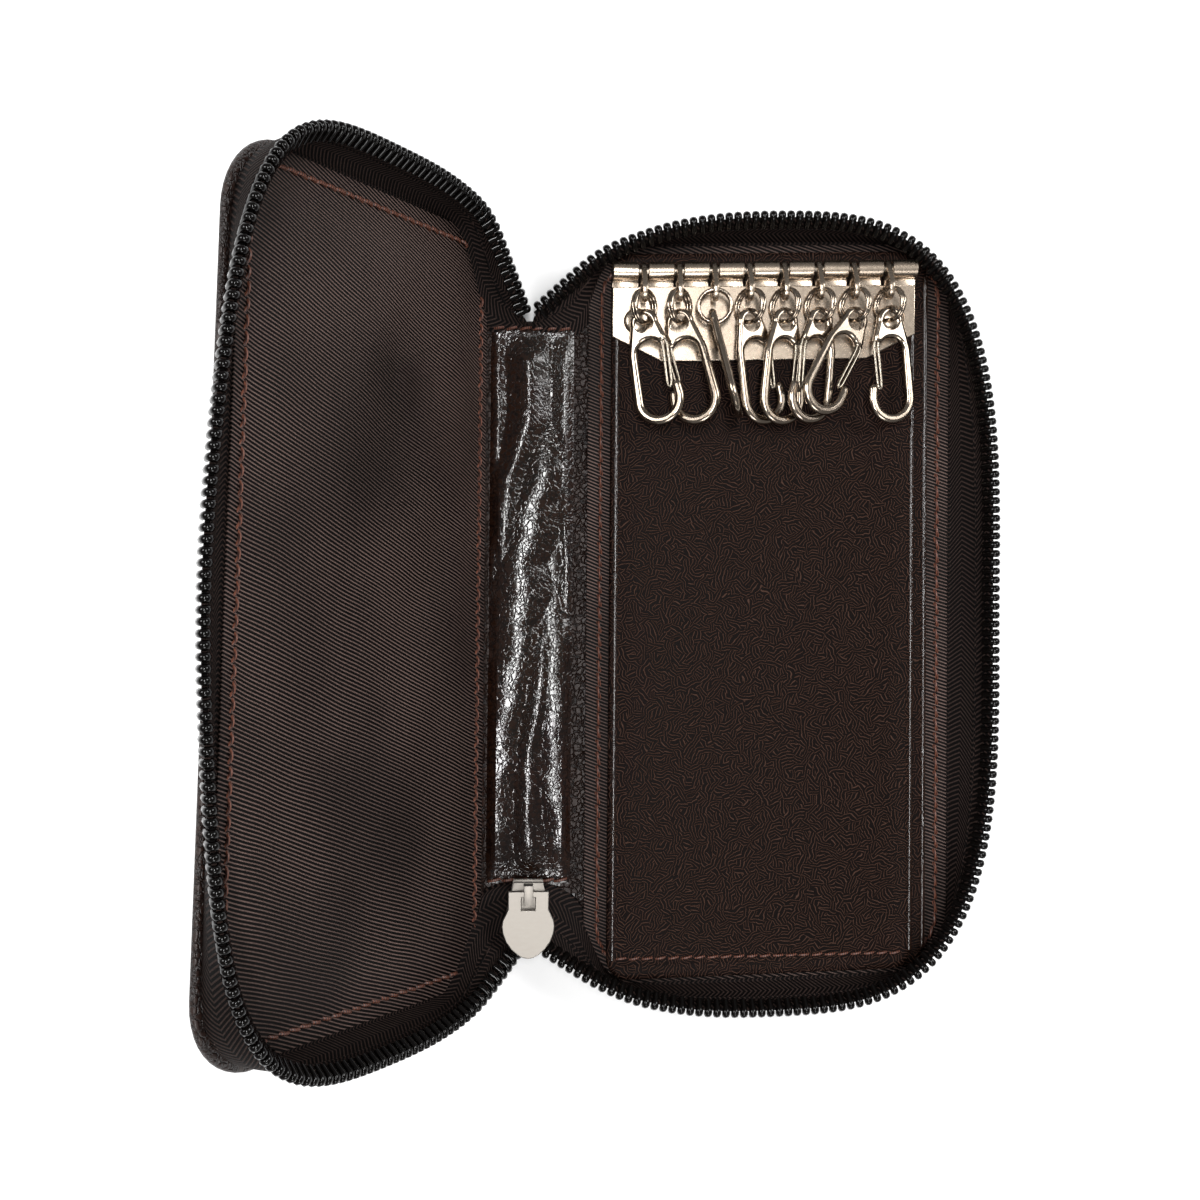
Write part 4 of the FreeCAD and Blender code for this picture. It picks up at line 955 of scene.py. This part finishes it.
# The strip's line across the back hinge: how far it lies towards the spine, and its height on the cover
HINGE_RUN = np.array([(2.4, 0.45), (1.2, 0.5), (0, 0.4), (-1.3, 0.45), (-2.6, 0.48), (-4, 0.5)])
for half in ("back", "front"):
    line = np.stack([HINGE_X - HINGE_RUN[:, 0], 0 * HINGE_RUN[:, 0], LEATHER + HINGE_RUN[:, 1]], 1)
    if half == "front":
        line = np.concatenate([line[:3] * (-1, 1, 1) + (2 * SPINE_X, 0, 0), raise_front(line[3:])])
    line, _ = even(line, 14)
    line = soften(line, 3)
    rows = np.linspace(spine_low[1] - 1, spine_high[1] + 1, 60)
    grid = np.array([[(x, y, z) for x, _, z in line] for y in rows])
    points, faces, layout = thick_strip(grid, 0.5)
    strip = piece(half + "_hinge_leather", [(points, faces)], hinge_leather, "spine", layout)
    if half == "back":
        start, end = (HINGE_X + 1.5) / 1000, (HINGE_X - 1.5) / 1000
        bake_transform(strip)
    else:
        start = (FRONT_HINGE_X + 1.5) / 1000
        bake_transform(strip)


# Slider and pull tab: die-cast zinc with a satin nickel finish.
# The slider straddles both coils; the shield-shaped tab hangs on its bridge.
# Satin nickel: grey and fine brushed, so it shows soft light and no clear reflection
satin_nickel = metal_look("satin nickel", "#948f88", "#7f7a74", 0.46, 0.6)
slider_mesh = bmesh.new()
slider_mesh.from_mesh(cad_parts["zip_slider"].data)
bmesh.ops.remove_doubles(slider_mesh, verts=slider_mesh.verts, dist=1e-6)
bmesh.ops.dissolve_limit(slider_mesh, angle_limit=0.02, verts=slider_mesh.verts, edges=slider_mesh.edges)
bmesh.ops.bevel(slider_mesh, geom=slider_mesh.edges[:], offset=0.00018, segments=3, affect="EDGES",
                profile=0.5, clamp_overlap=True)
slider_points = [np.array(vertex.co) * 1000 for vertex in slider_mesh.verts]
slider_mesh.verts.index_update()
slider_faces = [tuple(vertex.index for vertex in face.verts) for face in slider_mesh.faces]
slider_mesh.free()
slider = piece("satin_slider", [(slider_points, slider_faces)], satin_nickel, "spine")
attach(slider, "spine")
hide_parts("zip_slider")
tab_right = [(3.0, 0.3), (3.0, -2.3), (3.35, -3.1), (3.8, -4.0), (3.95, -4.9), (3.8, -6.0), (3.3, -7.3),
             (2.5, -8.4), (1.6, -9.2), (0.8, -9.65)]
tab_outline = tab_right + [(0, -9.8)] + [(-x, y) for x, y in tab_right[::-1]]
tab_hole = [(1.2, -0.35), (-1.2, -0.35), (-1.2, -2.6), (1.2, -2.6)]
TAB_AXIS = np.array([SPINE_X, -44.45, 8.0])
TAB_HALF = 0.45
tab_points, tab_faces = cut_plate("tab", [tab_outline, tab_hole], -TAB_HALF, TAB_HALF, 0.15)
tab = piece("satin_pull_tab", [(tab_points + TAB_AXIS, tab_faces)], satin_nickel, "spine")
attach(tab, "pull_tab")
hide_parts("pull_tab")


# Table, light and camera: a white paper sweep under large soft lamps, seen from almost straight above.
# None of this belongs to the key case.
paper, paper_tree, paper_shader = new_look("white paper sweep")
# Matt paper with a faint fibre mottle
paper_place = add(paper_tree, "TexCoord", {}).outputs["Object"]
paper_fibre = add(paper_tree, "TexNoise", {"Vector": paper_place, "Scale": 40, "Detail": 3}).outputs[0]
paper_tone = add(paper_tree, "Mix", {0: paper_fibre, 6: linear("#f6f6f6"), 7: linear("#fcfcfc")},
                 data_type="RGBA").outputs[2]
paper_tree.links.new(paper_tone, paper_shader.inputs["Base Color"])
paper_shader.inputs["Roughness"].default_value = 0.9
# Far from the lamps the paper glows, so that it stays pale up to its edge
paper_reach = add(paper_tree, "VectorMath", {0: paper_place}, operation="LENGTH").outputs["Value"]
paper_glow = add(paper_tree, "MapRange", {0: paper_reach, 1: 0.4, 2: 1.5, 3: 0.0, 4: 0.75}).outputs[0]
paper_shader.inputs["Emission Color"].default_value = (1, 1, 1, 1)
paper_tree.links.new(paper_glow, paper_shader.inputs["Emission Strength"])
PAPER_HALF, PAPER_LEVEL = 3, -0.0002
floor_corners = [(x * PAPER_HALF, y * PAPER_HALF, PAPER_LEVEL)
                 for x, y in ((-1, -1), (1, -1), (1, 1), (-1, 1))]
floor_mesh = bpy.data.meshes.new("paper_floor")
floor_mesh.from_pydata(floor_corners, [], [(0, 1, 2, 3)])
floor_mesh.materials.append(paper)
floor = bpy.data.objects.new("paper_floor", floor_mesh)
bpy.context.collection.objects.link(floor)
world = bpy.data.worlds.new("studio")
bpy.context.scene.world = world
world.use_nodes = True
world.node_tree.nodes["Background"].inputs["Color"].default_value = (1, 1, 1, 1)
world.node_tree.nodes["Background"].inputs["Strength"].default_value = 0.2
LAMPS_AIM = Vector((-0.03, 0, 0))
for name, place, size, power in (("overhead strip", (-0.043, 0, 1.2), (0.75, 0.09), 9.0),
                                 ("left box", (-0.8, 0.25, 0.8), (0.4, 0.4), 6.2),
                                 ("right box", (0.75, 0.45, 0.8), (0.45, 0.45), 7.4),
                                 ("foot box", (0.1, -0.85, 0.75), (0.4, 0.4), 4.4)):
    lamp = bpy.data.lights.new(name, "AREA")
    lamp.shape = "RECTANGLE"
    lamp.size, lamp.size_y = size
    lamp.energy = power
    lamp_object = bpy.data.objects.new(name, lamp)
    lamp_object.location = place
    aim = LAMPS_AIM - Vector(place)
    lamp_object.rotation_euler = aim.to_track_quat("-Z", "Y").to_euler()
    bpy.context.collection.objects.link(lamp_object)
# The photo's camera, as fitted to both tooth lines: focal length in pixels of the frame, place and tilt
FRAME_PIXELS, FOCAL_PIXELS = 1200, 1450.844
CAMERA_PLACE = Vector((-0.0427287, -0.0022799, 0.2338683))
TILT_X, TILT_Y, TILT_Z = -0.0157, 0.0668, -0.0096
camera = bpy.data.cameras.new("photo camera")
camera.sensor_width = 36
camera.lens = 36 * FOCAL_PIXELS / FRAME_PIXELS
camera.clip_start = 0.01
camera_object = bpy.data.objects.new("photo camera", camera)
tilt = Matrix.Rotation(TILT_Z, 3, "Z") @ Matrix.Rotation(TILT_Y, 3, "Y") @ Matrix.Rotation(TILT_X, 3, "X")
camera_object.matrix_world = Matrix.LocRotScale(CAMERA_PLACE, tilt.transposed(), None)
bpy.context.collection.objects.link(camera_object)
bpy.context.scene.camera = camera_object
bpy.context.scene.view_settings.view_transform = "Standard"
